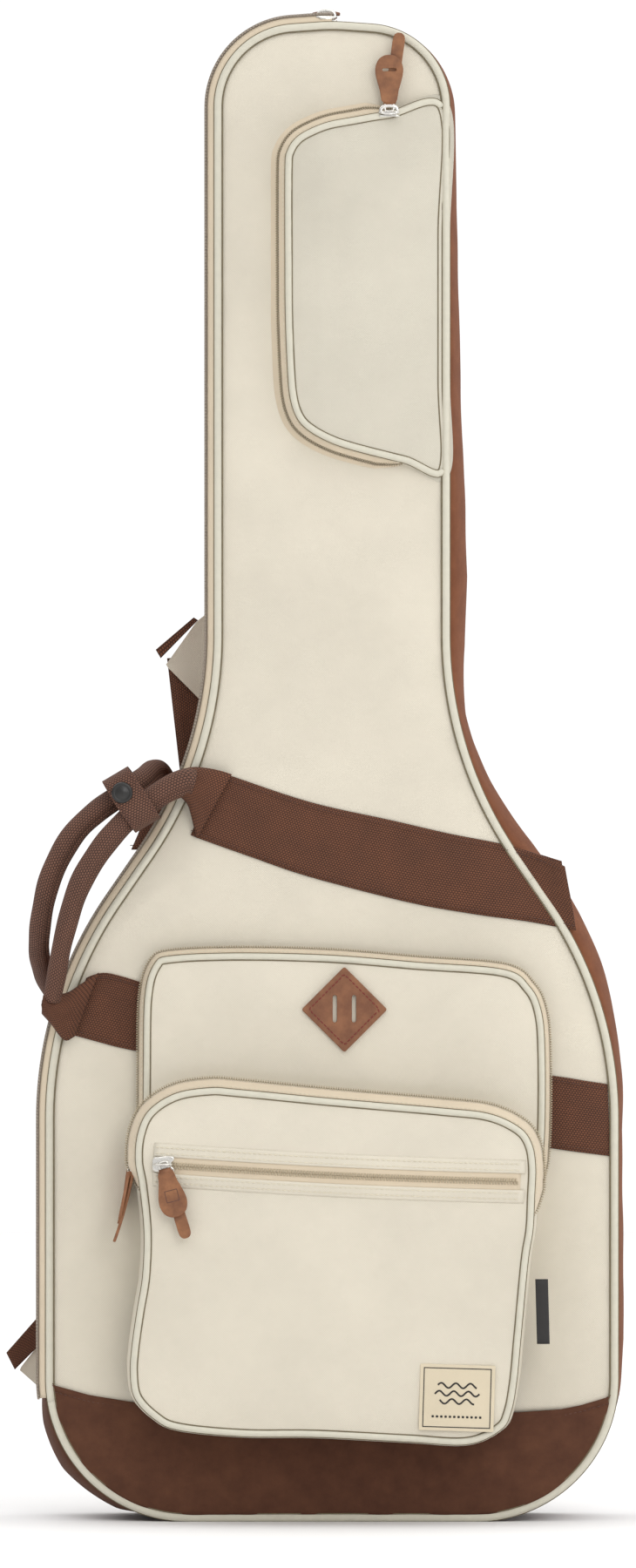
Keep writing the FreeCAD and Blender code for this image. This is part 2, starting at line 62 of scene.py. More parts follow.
# ------------------------------------------------------------------ curves
def rounded(points, step=4 * MM):
    """Points along a closed outline of (x, z, corner radius) corners, in metres, counter-clockwise."""
    out = []
    count = len(points)
    for i, (x, z, radius) in enumerate(points):
        corner = np.array([x, z])
        before = np.array(points[i - 1][:2]) - corner
        after = np.array(points[(i + 1) % count][:2]) - corner
        before = before / np.linalg.norm(before)
        after = after / np.linalg.norm(after)
        half = math.acos(np.clip(before @ after, -1, 1)) / 2
        if radius == 0:
            out.append(corner)
            continue
        reach = radius / math.tan(half)
        middle = (before + after) / np.linalg.norm(before + after)
        centre = corner + middle * radius / math.sin(half)
        first, last = corner + before * reach - centre, corner + after * reach - centre
        a = math.atan2(first[1], first[0])
        b = math.atan2(last[1], last[0])
        turn = (b - a + math.pi) % (2 * math.pi) - math.pi
        parts = max(4, int(abs(turn) * radius / step))
        for k in range(parts + 1):
            angle = a + turn * k / parts
            out.append(centre + radius * np.array([math.cos(angle), math.sin(angle)]))
    return resample(np.array(out), step, closed=True)


def resample(points, step, closed=False):
    """Evenly spaced points along a polyline in any number of dimensions."""
    points = np.asarray(points, float)
    if closed:
        points = np.vstack([points, points[:1]])
    lengths = np.concatenate([[0], np.cumsum(np.linalg.norm(np.diff(points, axis=0), axis=1))])
    count = max(3, int(round(lengths[-1] / step)))
    where = np.linspace(0, lengths[-1], count + 1)
    if closed:
        where = where[:-1]
    return np.stack([np.interp(where, lengths, points[:, k]) for k in range(points.shape[1])], axis=1)


def smooth_path(points, step=2 * MM, closed=False):
    """A Catmull-Rom curve through given points, evenly resampled."""
    p = np.asarray(points, float)
    if closed:
        p = np.vstack([p[-1:], p, p[:2]])
    else:
        p = np.vstack([2 * p[0] - p[1], p, 2 * p[-1] - p[-2]])
    out = []
    for a, b, c, d in zip(p, p[1:], p[2:], p[3:]):
        for t in np.linspace(0, 1, 16, endpoint=False):
            out.append(0.5 * (2 * b + (c - a) * t + (2 * a - 5 * b + 4 * c - d) * t * t
                              + (3 * b - a - 3 * c + d) * t ** 3))
    if not closed:
        out.append(p[-2])
    return resample(np.array(out), step, closed)


def normals_2d(outline):
    """Outward unit normals of a closed counter-clockwise outline."""
    ahead = np.roll(outline, -1, axis=0) - np.roll(outline, 1, axis=0)
    ahead /= np.linalg.norm(ahead, axis=1)[:, None]
    return np.stack([ahead[:, 1], -ahead[:, 0]], axis=1)


def shifted(outline, distance):
    return outline + normals_2d(outline) * distance


def with_y(points, y):
    """3-D points or directions from (x, z) ones and their Y, one value or one a point."""
    return np.stack([points[:, 0], np.broadcast_to(y, len(points)), points[:, 1]], axis=1)


def in_mm(points):
    return np.array(points, float) * MM


def lengths_along(path):
    return np.concatenate([[0], np.cumsum(np.linalg.norm(np.diff(path, axis=0), axis=1))])


# ------------------------------------------------------------------ meshes
def new_mesh(name, verts, faces, uv=None, material=None, smooth=True):
    mesh = bpy.data.meshes.new(name)
    mesh.from_pydata([tuple(v) for v in verts], [], [tuple(int(i) for i in f) for f in faces])
    if uv is not None:
        layer = mesh.uv_layers.new(name="cloth")
        loops = np.empty(len(mesh.loops), dtype=np.int64)
        mesh.loops.foreach_get("vertex_index", loops)
        layer.data.foreach_set("uv", np.asarray(uv, np.float32)[loops].ravel())
    mesh.polygons.foreach_set("use_smooth", [smooth] * len(mesh.polygons))
    mesh.validate()
    obj = bpy.data.objects.new(name, mesh)
    bpy.context.scene.collection.objects.link(obj)
    if material:
        mesh.materials.append(material)
    return obj


def outward(obj):
    """Turns every face of a closed piece outward."""
    bm = bmesh.new()
    bm.from_mesh(obj.data)
    bmesh.ops.recalc_face_normals(bm, faces=bm.faces)
    bm.to_mesh(obj.data)
    bm.free()
    return obj


def grid_normals(grid, loop):
    if loop:
        across = np.roll(grid, -1, axis=0) - np.roll(grid, 1, axis=0)
    else:
        across = np.gradient(grid, axis=0)
    along = np.gradient(grid, axis=1)
    n = np.cross(across, along)
    return n / np.maximum(np.linalg.norm(n, axis=2), 1e-12)[:, :, None]


def cloth(name, grid, material, thickness, uv=None, loop=False, towards=None):
    """A closed sheet of cloth from a rows x columns grid; loop joins the last row to the first.

    The grid is the outer face and the inner face lies thickness behind it, away from towards.
    """
    rows, cols = grid.shape[:2]
    normal = grid_normals(grid, loop)
    if towards is not None and np.mean(np.sum(normal * np.asarray(towards, float), axis=-1)) < 0:
        normal = -normal
    inner = grid - normal * thickness
    verts = np.concatenate([grid.reshape(-1, 3), inner.reshape(-1, 3)])
    if uv is None:
        u = np.concatenate([[0], np.cumsum(np.linalg.norm(np.diff(grid[:, cols // 2], axis=0), axis=1))])
        v = np.concatenate([[0], np.cumsum(np.linalg.norm(np.diff(grid[rows // 2], axis=0), axis=1))])
        uv = np.stack(np.meshgrid(u, v, indexing="ij"), axis=2)
    uv = np.concatenate([uv.reshape(-1, 2)] * 2)
    faces = []
    size = rows * cols
    last = rows if loop else rows - 1
    for i in range(last):
        a, b = i * cols, ((i + 1) % rows) * cols
        for j in range(cols - 1):
            faces.append((a + j, b + j, b + j + 1, a + j + 1))
            faces.append((size + a + j, size + a + j + 1, size + b + j + 1, size + b + j))
        faces.append((a, size + a, size + b, b))
        faces.append((a + cols - 1, b + cols - 1, size + b + cols - 1, size + a + cols - 1))
    if not loop:
        for j in range(cols - 1):
            faces.append((j, j + 1, size + j + 1, size + j))
            end = (rows - 1) * cols
            faces.append((end + j, size + end + j, size + end + j + 1, end + j + 1))
    return outward(new_mesh(name, verts, faces, uv, material))


def disc(name, outline, height, material, centre, thickness, rings=26):
    """A closed pad over a star-shaped outline: height(x, z) gives the outer face's Y."""
    share = np.concatenate([[0, 0.006, 0.014], np.linspace(0.03, 0.985, rings)])
    count = len(outline)
    verts, uv = [], []
    for s in share:
        ring = outline + (np.asarray(centre) - outline) * s
        y = height(ring[:, 0], ring[:, 1])
        verts.append(with_y(ring, y))
        uv.append(ring)
    levels = len(share)
    front = np.concatenate(verts)
    middle = np.array([[centre[0], height(np.array([centre[0]]), np.array([centre[1]]))[0], centre[1]]])
    front = np.concatenate([front, middle])
    back = front + np.array([0, thickness, 0])
    uv = np.concatenate(uv + [np.array([centre])])
    faces = []
    size = len(front)
    for k in range(levels - 1):
        for i in range(count):
            j = (i + 1) % count
            a, b = k * count, (k + 1) * count
            faces.append((a + i, a + j, b + j, b + i))
            faces.append((size + a + i, size + b + i, size + b + j, size + a + j))
    end = (levels - 1) * count
    for i in range(count):
        j = (i + 1) % count
        faces.append((end + i, end + j, size - 1))
        faces.append((size + end + j, size + end + i, 2 * size - 1))
        faces.append((i, size + i, size + j, j))
    return outward(new_mesh(name, np.concatenate([front, back]), faces, np.concatenate([uv, uv]), material))


def ring_faces(count, sides, closed=False):
    """Faces between count rings of points, with end caps unless the last ring meets the first."""
    faces = []
    for k in range(count if closed else count - 1):
        n = (k + 1) % count
        for a in range(sides):
            b = (a + 1) % sides
            faces.append((k * sides + a, k * sides + b, n * sides + b, n * sides + a))
    if not closed:
        faces.append(tuple(range(sides - 1, -1, -1)))
        faces.append(tuple((count - 1) * sides + a for a in range(sides)))
    return faces


def tube(name, path, radius, material, sides=12, closed=False, flat=1.0, up=None):
    """A round or flattened bar along a path of 3-D points; radius may be one value or one a point."""
    path = np.asarray(path, float)
    count = len(path)
    radii = np.broadcast_to(np.asarray(radius, float), (count,))
    if closed:
        tangent = np.roll(path, -1, axis=0) - np.roll(path, 1, axis=0)
    else:
        tangent = np.gradient(path, axis=0)
    tangent /= np.linalg.norm(tangent, axis=1)[:, None]
    side = np.cross(tangent[0], up if up is not None else [0.1, 1.0, 0.2])
    verts = []
    for k in range(count):
        if up is not None:
            side = np.cross(tangent[k], up)
        side = side - tangent[k] * (side @ tangent[k])
        side /= np.linalg.norm(side)
        other = np.cross(tangent[k], side)
        for a in np.arange(sides) * 2 * math.pi / sides:
            verts.append(path[k] + radii[k] * (math.cos(a) * side + flat * math.sin(a) * other))
    along = lengths_along(path)
    uv = [(a / sides * 2 * math.pi * radii[k], along[k]) for k in range(count) for a in range(sides)]
    return outward(new_mesh(name, verts, ring_faces(count, sides, closed), uv, material))


def joined(name, pieces):
    """One object from several meshes."""
    for obj in bpy.context.selected_objects:
        obj.select_set(False)
    for piece in pieces:
        piece.select_set(True)
    bpy.context.view_layer.objects.active = pieces[0]
    bpy.ops.object.join()
    pieces[0].name = name
    pieces[0].data.name = name
    return pieces[0]


BOX_FACES = [(0, 1, 3, 2), (4, 6, 7, 5), (0, 4, 5, 1), (2, 3, 7, 6), (0, 2, 6, 4), (1, 5, 7, 3)]


def many_boxes(name, centres, axes, halves, material, pinch=1.0):
    """Small six-sided bars, one at each centre, with axes (3 x 3, rows) and half sizes; pinch narrows
    the outer end."""
    verts, faces = [], []
    for centre, frame_axes in zip(centres, axes):
        base = len(verts)
        for x in (-1, 1):
            for y in (-1, 1):
                for z in (-1, 1):
                    narrow = pinch if y > 0 else 1.0
                    local = np.array([x * halves[0] * narrow, y * halves[1], z * halves[2] * narrow])
                    verts.append(centre + local @ frame_axes)
        faces += [tuple(base + i for i in f) for f in BOX_FACES]
    return outward(new_mesh(name, verts, faces, None, material, smooth=False))


def path_axes(path, up):
    """Frames along a path: rows are the tangent, the outward direction and the one across."""
    tangent = np.gradient(path, axis=0)
    tangent /= np.linalg.norm(tangent, axis=1)[:, None]
    up = up - tangent * np.sum(up * tangent, axis=1)[:, None]
    up = up / np.linalg.norm(up, axis=1)[:, None]
    return np.stack([tangent, up, np.cross(tangent, up)], axis=1)


def spaced(path, up, step):
    """Evenly spaced points along a path and their frames, with up given once or for every point."""
    spots = resample(path, step)
    ups = np.broadcast_to(np.asarray(up, float), path.shape)
    where = np.linspace(0, 1, len(spots))
    ups = np.stack([np.interp(where, np.linspace(0, 1, len(path)), ups[:, k]) for k in range(3)], axis=1)
    return spots, path_axes(spots, ups)


def coil(name, path, up, material, pitch=2.0 * MM, reach=1.7 * MM, tall=0.9 * MM):
    """The teeth of a nylon coil, two interleaved rows along a path."""
    spots, axes = spaced(path, up, pitch / 2)
    shift = np.where(np.arange(len(spots)) % 2 == 0, 1, -1)[:, None] * 0.45 * reach
    return many_boxes(name, spots + axes[:, 2] * shift, axes, (0.3 * pitch, tall / 2, reach / 2),
                      material, pinch=0.7)


def stitches(name, path, up, material, pitch=4.2 * MM, length=3.0 * MM, radius=0.32 * MM):
    """A row of sewn stitches: short raised threads that dip at their ends."""
    spots, axes = spaced(path, up, pitch)
    verts, faces = [], []
    ring = [(math.cos(a), math.sin(a)) for a in np.arange(5) * 2 * math.pi / 5]
    for centre, frame_axes in zip(spots[:-1], axes[:-1]):
        base = len(verts)
        for t, size in ((-0.5, 0.5), (-0.3, 1.0), (0.3, 1.0), (0.5, 0.5)):
            lift = -0.5 * radius if size < 1 else 0.35 * radius
            mid = centre + frame_axes[0] * t * length + frame_axes[1] * lift
            for c, s in ring:
                verts.append(mid + (frame_axes[1] * c + frame_axes[2] * s) * radius * size)
        for k in range(3):
            for a in range(5):
                b = (a + 1) % 5
                faces.append((base + k * 5 + a, base + k * 5 + b, base + k * 5 + 5 + b, base + k * 5 + 5 + a))
        faces.append(tuple(base + a for a in range(4, -1, -1)))
        faces.append(tuple(base + 15 + a for a in range(5)))
    return outward(new_mesh(name, verts, faces, None, material))


# ------------------------------------------------------------------ materials
class Paint:
    """A procedural material under construction. Positions come from the cloth UVs, in metres."""

    def __init__(self, name, colour, rough=0.8, metal=0.0, sheen=0.0):
        self.material = bpy.data.materials.new(name)
        self.material.use_nodes = True
        self.tree = self.material.node_tree
        self.shader = self.tree.nodes["Principled BSDF"]
        self.shader.inputs["Base Color"].default_value = (*colour, 1)
        self.shader.inputs["Roughness"].default_value = rough
        self.shader.inputs["Metallic"].default_value = metal
        self.shader.inputs["Sheen Weight"].default_value = sheen
        self.shader.inputs["Sheen Roughness"].default_value = 0.5
        self.colour = colour

    def node(self, kind, **values):
        made = self.tree.nodes.new(kind)
        for key, value in values.items():
            if key in made.inputs.keys():
                made.inputs[key].default_value = value
            else:
                setattr(made, key, value)
        return made

    def link(self, source, target):
        self.tree.links.new(source, target)

    def place(self, kind="UV"):
        return self.node("ShaderNodeTexCoord").outputs[kind]

    def noise(self, where, scale, detail=3.0, rough=0.5):
        made = self.node("ShaderNodeTexNoise", Scale=scale, Detail=detail, Roughness=rough)
        self.link(where, made.inputs["Vector"])
        return made.outputs["Fac"]

    def maths(self, op, a, b=None):
        made = self.node("ShaderNodeMath", operation=op)
        for k, value in enumerate((a, b)):
            if value is None:
                continue
            if isinstance(value, (int, float)):
                made.inputs[k].default_value = value
            else:
                self.link(value, made.inputs[k])
        return made.outputs[0]

    def ramp(self, fac, low, high, dark, light):
        """Maps fac from low..high onto the colours dark..light."""
        share = self.node("ShaderNodeMapRange")
        share.inputs["From Min"].default_value = low
        share.inputs["From Max"].default_value = high
        self.link(fac, share.inputs["Value"])
        mix = self.node("ShaderNodeMix", data_type="RGBA")
        mix.inputs["A"].default_value = (*dark, 1)
        mix.inputs["B"].default_value = (*light, 1)
        self.link(share.outputs["Result"], mix.inputs["Factor"])
        return mix.outputs["Result"]

    def multiply(self, a, b, amount=1.0):
        mix = self.node("ShaderNodeMix", data_type="RGBA", blend_type="MULTIPLY")
        mix.inputs["Factor"].default_value = amount
        self.link(a, mix.inputs["A"])
        self.link(b, mix.inputs["B"])
        return mix.outputs["Result"]

    def base(self, colour):
        self.link(colour, self.shader.inputs["Base Color"])
        return self

    def bump(self, height, distance, strength=1.0):
        made = self.node("ShaderNodeBump", Strength=strength, Distance=distance)
        self.link(height, made.inputs["Height"])
        self.link(made.outputs["Normal"], self.shader.inputs["Normal"])
        return self

    def split(self, where):
        """The two cloth directions of a UV."""
        parts = self.node("ShaderNodeSeparateXYZ")
        self.link(where, parts.inputs["Vector"])
        return parts.outputs["X"], parts.outputs["Y"]

    def weave(self, where, pitch):
        """A plain weave's height, 0..1: threads over and under at the given pitch."""
        u, v = self.split(where)
        waves = []
        for axis in (u, v):
            waves.append(self.maths("SINE", self.maths("MULTIPLY", axis, math.pi / pitch)))
        return self.maths("ADD", self.maths("MULTIPLY", self.maths("MULTIPLY", waves[0], waves[1]), 0.5), 0.5)


def tint(colour, by):
    return tuple(min(1.0, c * by) for c in colour)


def cloth_paint(name, colour, pitch, rough=0.9, sheen=0.15, mottle=0.06, bump=0.12 * MM):
    p = Paint(name, colour, rough, sheen=sheen)
    where = p.place()
    weave = p.weave(where, pitch)
    tone = p.ramp(p.noise(where, 9.0, 4.0, 0.6), 0.3, 0.7, tint(colour, 1 - mottle), tint(colour, 1 + mottle))
    thread = p.ramp(weave, 0.0, 1.0, (0.9, 0.89, 0.87), (1.03, 1.03, 1.03))
    p.base(p.multiply(tone, thread))
    grain = p.noise(where, 900.0, 2.0)
    p.bump(p.maths("ADD", weave, p.maths("MULTIPLY", grain, 0.5)), bump)
    return p.material


def suede_paint(name, colour, pale, scale=60.0):
    p = Paint(name, colour, 0.95, sheen=0.06)
    p.shader.inputs["Sheen Tint"].default_value = (*tint(pale, 1.6), 1)
    where = p.place()
    cloud = p.noise(where, scale, 5.0, 0.65)
    large = p.noise(where, scale * 0.18, 3.0, 0.55)
    nap = p.maths("ADD", p.maths("MULTIPLY", cloud, 0.6), p.maths("MULTIPLY", large, 0.4))
    p.base(p.ramp(nap, 0.35, 0.68, colour, pale))
    fur = p.noise(where, 2500.0, 2.0)
    p.bump(p.maths("ADD", fur, cloud), 0.12 * MM)
    return p.material


def webbing_paint(name, colour, pale, pitch=2.1 * MM, row=1.5 * MM):
    """Basket-woven webbing: rows of pale knots, each row shifted half a knot from the last."""
    p = Paint(name, colour, 0.85)
    where = p.place()
    u, v = p.split(where)
    rows = p.maths("SINE", p.maths("MULTIPLY", u, math.pi / row))
    column = p.maths("MULTIPLY", v, math.pi / pitch)
    half_step = p.maths("MULTIPLY", p.maths("ADD", p.maths("SIGN", rows), 1.0), math.pi / 4)
    knots = p.maths("SINE", p.maths("ADD", column, half_step))
    height = p.maths("MULTIPLY", p.maths("ABSOLUTE", rows), p.maths("ABSOLUTE", knots))
    tone = p.ramp(height, 0.1, 0.8, colour, pale)
    wear = p.ramp(p.noise(where, 40.0, 3.0), 0.3, 0.7, (0.86, 0.86, 0.86), (1.08, 1.06, 1.04))
    p.base(p.multiply(tone, wear))
    p.bump(height, 0.35 * MM)
    return p.material


def leather_paint(name, colour, pale):
    p = Paint(name, colour, 0.5)
    where = p.place("Object")
    cloud = p.noise(where, 120.0, 4.0, 0.6)
    p.base(p.ramp(cloud, 0.35, 0.7, colour, pale))
    p.bump(p.noise(where, 1400.0, 3.0), 0.12 * MM)
    return p.material


def metal_paint(name, colour, rough):
    p = Paint(name, colour, rough, metal=1.0)
    where = p.place("Object")
    p.link(p.ramp(p.noise(where, 350.0), 0.3, 0.7, (rough * 0.8,) * 3, (rough * 1.25,) * 3),
           p.shader.inputs["Roughness"])
    p.bump(p.noise(where, 2200.0), 0.02 * MM)
    return p.material


def plain_paint(name, colour, rough, mottle=0.08, scale=200.0, sheen=0.0, bump=0.05 * MM):
    p = Paint(name, colour, rough, sheen=sheen)
    where = p.place("Object")
    p.base(p.ramp(p.noise(where, scale), 0.3, 0.7, tint(colour, 1 - mottle), tint(colour, 1 + mottle)))
    p.bump(p.noise(where, scale * 8), bump)
    return p.material


CANVAS = cloth_paint("canvas", (0.685, 0.635, 0.53), 0.62 * MM, sheen=0.0)
# The same canvas made darker for the neck pocket: painted shade for the upper part of the bag.
SHADED_NECK_CANVAS = cloth_paint("neck_canvas_painted_shade", (0.60, 0.565, 0.475), 0.62 * MM, sheen=0.0)
PIPING = plain_paint("piping", (0.60, 0.57, 0.47), 0.7, 0.03)
SUEDE = suede_paint("suede", (0.138, 0.043, 0.016), (0.215, 0.075, 0.03))
BOOT = suede_paint("boot_suede", (0.068, 0.022, 0.0095), (0.112, 0.042, 0.019))
LINING = plain_paint("lining", (0.33, 0.27, 0.2), 0.95, 0.1, 90.0, sheen=0.8, bump=0.4 * MM)
TAPE = cloth_paint("zipper_tape", (0.68, 0.575, 0.43), 0.5 * MM, rough=0.8)
COIL = plain_paint("coil", (0.42, 0.35, 0.24), 0.45, 0.06)
COIL_GREY = plain_paint("coil_grey", (0.3, 0.25, 0.2), 0.45, 0.06)
WEBBING = webbing_paint("webbing", (0.042, 0.012, 0.005), (0.185, 0.068, 0.03))
ROLLED = webbing_paint("rolled_webbing", (0.038, 0.015, 0.009), (0.2, 0.092, 0.058), 2.2 * MM, 1.6 * MM)
LEATHER = leather_paint("pull_leather", (0.165, 0.06, 0.022), (0.29, 0.12, 0.046))
TAB_LEATHER = leather_paint("tab_leather", (0.16, 0.055, 0.02), (0.24, 0.095, 0.038))
NICKEL = metal_paint("nickel", (0.72, 0.7, 0.66), 0.28)
PLASTIC = plain_paint("black_plastic", (0.012, 0.011, 0.01), 0.35, 0.1)
LABEL = cloth_paint("label_cloth", (0.69, 0.6, 0.44), 0.4 * MM, rough=0.6)
INK = plain_paint("label_thread", (0.02, 0.017, 0.015), 0.7, 0.1)
TAG = plain_paint("tag_cloth", (0.018, 0.016, 0.015), 0.7, 0.1)
RUBBER = plain_paint("rubber", (0.03, 0.028, 0.026), 0.6, 0.1)
THREAD = plain_paint("cream_thread", (0.7, 0.64, 0.5), 0.6, 0.04)
RED_THREAD = plain_paint("red_thread", (0.18, 0.012, 0.012), 0.55, 0.06)
BROWN_THREAD = plain_paint("brown_thread", (0.09, 0.035, 0.022), 0.6, 0.06)
# Dark tubes laid along the seams beside the pipings and welts: painted shade in the seam grooves.
SEAM_SHADE = plain_paint("seam_groove_painted_shade", (0.17, 0.14, 0.085), 0.9, 0.1)


# ------------------------------------------------------------------ shell: outline and surfaces
SHELL_CORNERS = [(200.5, 0, 100), (200.5, 366, 270), (82.5, 537, 270), (82.5, 1045, 58)]
SHELL_CORNERS = (SHELL_CORNERS + [(0, 1051, 150)]
                 + [(-x, z, radius) for x, z, radius in reversed(SHELL_CORNERS)])
OUTLINE = rounded([(x * MM, z * MM, radius * MM) for x, z, radius in SHELL_CORNERS], 3 * MM)
FOLD_LOW = np.array([184 * MM, 0])
FOLD_NORMAL = Vector((0.99537, 0, 0.09613))


def start_at_bottom(outline):
    """The same closed outline, starting at its lowest middle point and running to the right."""
    first = int(np.argmin(np.hypot(outline[:, 0], outline[:, 1] - outline[:, 1].min())))
    return np.roll(outline, -first, axis=0)


OUTLINE = start_at_bottom(OUTLINE)


def edge_distance(x, z, outline):
    """Distance from points to an outline."""
    spots = np.stack([np.ravel(x), np.ravel(z)], axis=1)
    out = np.empty(len(spots))
    for k in range(0, len(spots), 2000):
        part = spots[k:k + 2000]
        out[k:k + 2000] = np.sqrt(((part[:, None] - outline[None]) ** 2).sum(axis=2).min(axis=1))
    return out.reshape(np.shape(x))


def ripple(x, z, scale, seed):
    """Smooth random waves between about -1 and 1."""
    flat_x, flat_z = np.ravel(x) / scale, np.ravel(z) / scale
    values = [noise.noise(Vector((a + seed * 7.3, b - seed * 3.1, seed))) for a, b in zip(flat_x, flat_z)]
    return np.array(values).reshape(np.shape(x))


def panel_y(x, z):
    """How far the padded front stands out, as a negative Y; the back is its mirror image."""
    x, z = np.asarray(x, float), np.asarray(z, float)
    d = edge_distance(x, z, OUTLINE)
    crown = 5.0 * MM * (1 - np.exp(-np.maximum(d - 5 * MM, 0) / (16 * MM)))
    waves = 0.9 * MM * ripple(x, z, 0.075, 1.0) + 0.35 * MM * ripple(x, z, 0.028, 2.0)
    edge = np.exp(-d / (25 * MM))
    pucker = 0.5 * MM * edge * ripple(x, z, 0.013, 3.0)
    creases = sum(crease(x, z, *place) for place in CREASES)
    return FRONT_Y + 3.2 * MM - crown - (waves + creases) * (1 - edge) - pucker


# Soft folds in the canvas: the middle (x, z), how it turns from level in degrees, length, width and
# height, in millimetres.
CREASES = [(-128, 436, 38, 60, 9, 1.3), (-112, 420, 30, 52, 8, 1.1), (-150, 412, 52, 45, 8, 1.0),
           (-40, 545, -24, 70, 12, 0.9), (30, 700, 62, 70, 14, 0.8), (-60, 620, 72, 60, 12, 0.7),
           (-160, 230, 84, 80, 8, 0.8), (40, 735, -22, 45, 9, 1.0)]


def crease(x, z, middle_x, middle_z, turn, length, width, height):
    """One soft fold of the canvas, as an outward height."""
    across, along = x / MM - middle_x, z / MM - middle_z
    c, s = math.cos(math.radians(turn)), math.sin(math.radians(turn))
    u, v = across * c + along * s, along * c - across * s
    return height * MM * np.exp(-(u / length) ** 2 * 2) * np.exp(-(v / width) ** 2 * 2)


def panel_grid(low, high, inset, columns=90, step=6 * MM):
    """Rows of points across the shell between two heights, following its outline at the sides."""
    right = shifted(OUTLINE, -inset)
    half = right[:int(np.argmax(right[:, 1])) + 1]
    half = half[half[:, 0] > 0]
    half = resample(half[(half[:, 1] >= low) & (half[:, 1] <= high)], step)
    u = np.linspace(-1, 1, columns)
    u = np.sin(u * math.pi / 2 * 0.92) / math.sin(math.pi / 2 * 0.92)
    x = half[:, :1] * u[None]
    z = np.repeat(half[:, 1:], columns, axis=1)
    return x, z


def surface(x, y, z):
    return np.stack([x, y, z], axis=2)


def panel(name, low, high, material, side=-1, inset=4.6 * MM, thickness=9 * MM):
    x, z = panel_grid(low, high, inset)
    y = panel_y(x, z) * (1 if side < 0 else -1)
    return cloth(name, surface(x, y, z), material, thickness, uv=np.stack([x, z], axis=2),
                 towards=(0, side, 0))


def across_fold(obj):
    """Bakes into its mesh the placement of a piece that crosses from the shell to the lid over the fold line;
    the piece is not bent.
    """
    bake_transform(obj)


front_panel = panel("front_panel_canvas", 0.076, 1.046, CANVAS)
across_fold(front_panel)
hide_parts("front_panel", "front_panel_fold")

back_panel = panel("back_panel_canvas", 0.076, 1.046, CANVAS, side=1)
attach(back_panel, "shell")
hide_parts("back_panel")


# ------------------------------------------------------------------ boot
BOOT_EDGE = np.array([(-205, 97), (-196, 96), (-170, 89), (-139, 84), (-60, 81), (40, 79), (130, 77),
                      (160, 79), (175, 82), (192, 87), (205, 89)]) * MM


def boot_edge(x):
    return np.interp(x, BOOT_EDGE[:, 0], BOOT_EDGE[:, 1])


def boot_sheet(name, side):
    """Suede over the bottom of a panel: rows follow the base outline up to the boot's seam."""
    ring = shifted(OUTLINE, -4.2 * MM)
    x = np.linspace(-1, 1, 120)
    x = np.sin(x * math.pi / 2 * 0.96) / math.sin(math.pi / 2 * 0.96)
    width = ring[ring[:, 1] < 0.099][:, 0].max()
    x = x * width
    bottom = ring[ring[:, 1] < 0.11]
    order = np.argsort(bottom[:, 0])
    base = np.interp(x, bottom[order, 0], bottom[order, 1])
    top = boot_edge(x) if side < 0 else np.full_like(x, BOOT_TOP)
    base = np.minimum(base, top - 1 * MM)
    share = np.concatenate([np.linspace(0, 0.93, 22), [0.955, 0.975, 0.99, 1.0]])
    z = base[None] + (top - base)[None] * share[:, None]
    xx = np.repeat(x[None], len(share), axis=0)
    y = panel_y(xx, z)
    lift = 1.9 * MM + 0.9 * MM * np.exp(-((share[:, None] - 0.94) / 0.03) ** 2)
    y = (y - lift - 0.5 * MM * ripple(xx, z, 0.03, 5.0)) * (1 if side < 0 else -1)
    return cloth(name, surface(xx, y, z), BOOT, 1.6 * MM, uv=np.stack([xx, z], axis=2),
                 towards=(0, side, 0)), x


boot_front, boot_x = boot_sheet("boot_front_suede", -1)
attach(boot_front, "shell")
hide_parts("boot_front")
boot_back, _ = boot_sheet("boot_back_suede", 1)
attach(boot_back, "shell")
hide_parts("boot_back")

for side, seam_name in ((-1, "boot_seam_front"), (1, "boot_seam_back")):
    seam_z = (boot_edge(boot_x) if side < 0 else np.full_like(boot_x, BOOT_TOP)) - 4.5 * MM
    seam_y = (panel_y(boot_x, seam_z) - 2.1 * MM) * (1 if side < 0 else -1)
    seam = stitches(seam_name, np.stack([boot_x, seam_y, seam_z], axis=1), (0, side, 0), BROWN_THREAD,
                    3.4 * MM, 2.4 * MM)
    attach(seam, "shell")


# ------------------------------------------------------------------ piping
def ring_path(outline, y, inset):
    line = shifted(outline, -inset)
    return with_y(line, y)


front_ring = ring_path(OUTLINE, FRONT_Y + PIPE, PIPE)
back_ring = ring_path(OUTLINE, HALF_DEPTH - PIPE, PIPE)
top_index = int(np.argmax(front_ring[:, 2]))
right_side = np.arange(len(front_ring)) <= top_index


def fold_side(x, z):
    """Positive on the shell's side of the fold line."""
    return (x - FOLD_LOW[0]) * FOLD_NORMAL.x + z * FOLD_NORMAL.z


on_shell = (fold_side(front_ring[:, 0], front_ring[:, 2]) > 0) | (front_ring[:, 2] < BOOT_TOP)
first_lid = int(np.argmax(~on_shell & right_side))
last_lid = len(on_shell) - 1 - int(np.argmax(~on_shell[::-1]))
lid_piping = tube("front_piping_cord", front_ring[first_lid:last_lid + 1], PIPE, PIPING, 14)
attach(lid_piping, "lid")
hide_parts("front_piping")
shell_path = np.concatenate([front_ring[last_lid:], front_ring[:first_lid + 1]])
sewn_piping = tube("front_piping_sewn_cord", shell_path, PIPE, PIPING, 14)
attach(sewn_piping, "shell")
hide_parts("front_piping_sewn")
back_piping = tube("back_piping_cord", back_ring, PIPE, PIPING, 14, closed=True)
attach(back_piping, "shell")
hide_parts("back_piping")


def seam_line(name, outline, inset, y, stretch, body, radius=0.55 * MM):
    """A dark tube along the sewn seam beside a piping: painted shade in the seam's groove."""
    line = shifted(outline, -inset)[stretch]
    path = with_y(line, y)
    made = tube(name, path, radius, SEAM_SHADE, 6)
    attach(made, body)
    return made


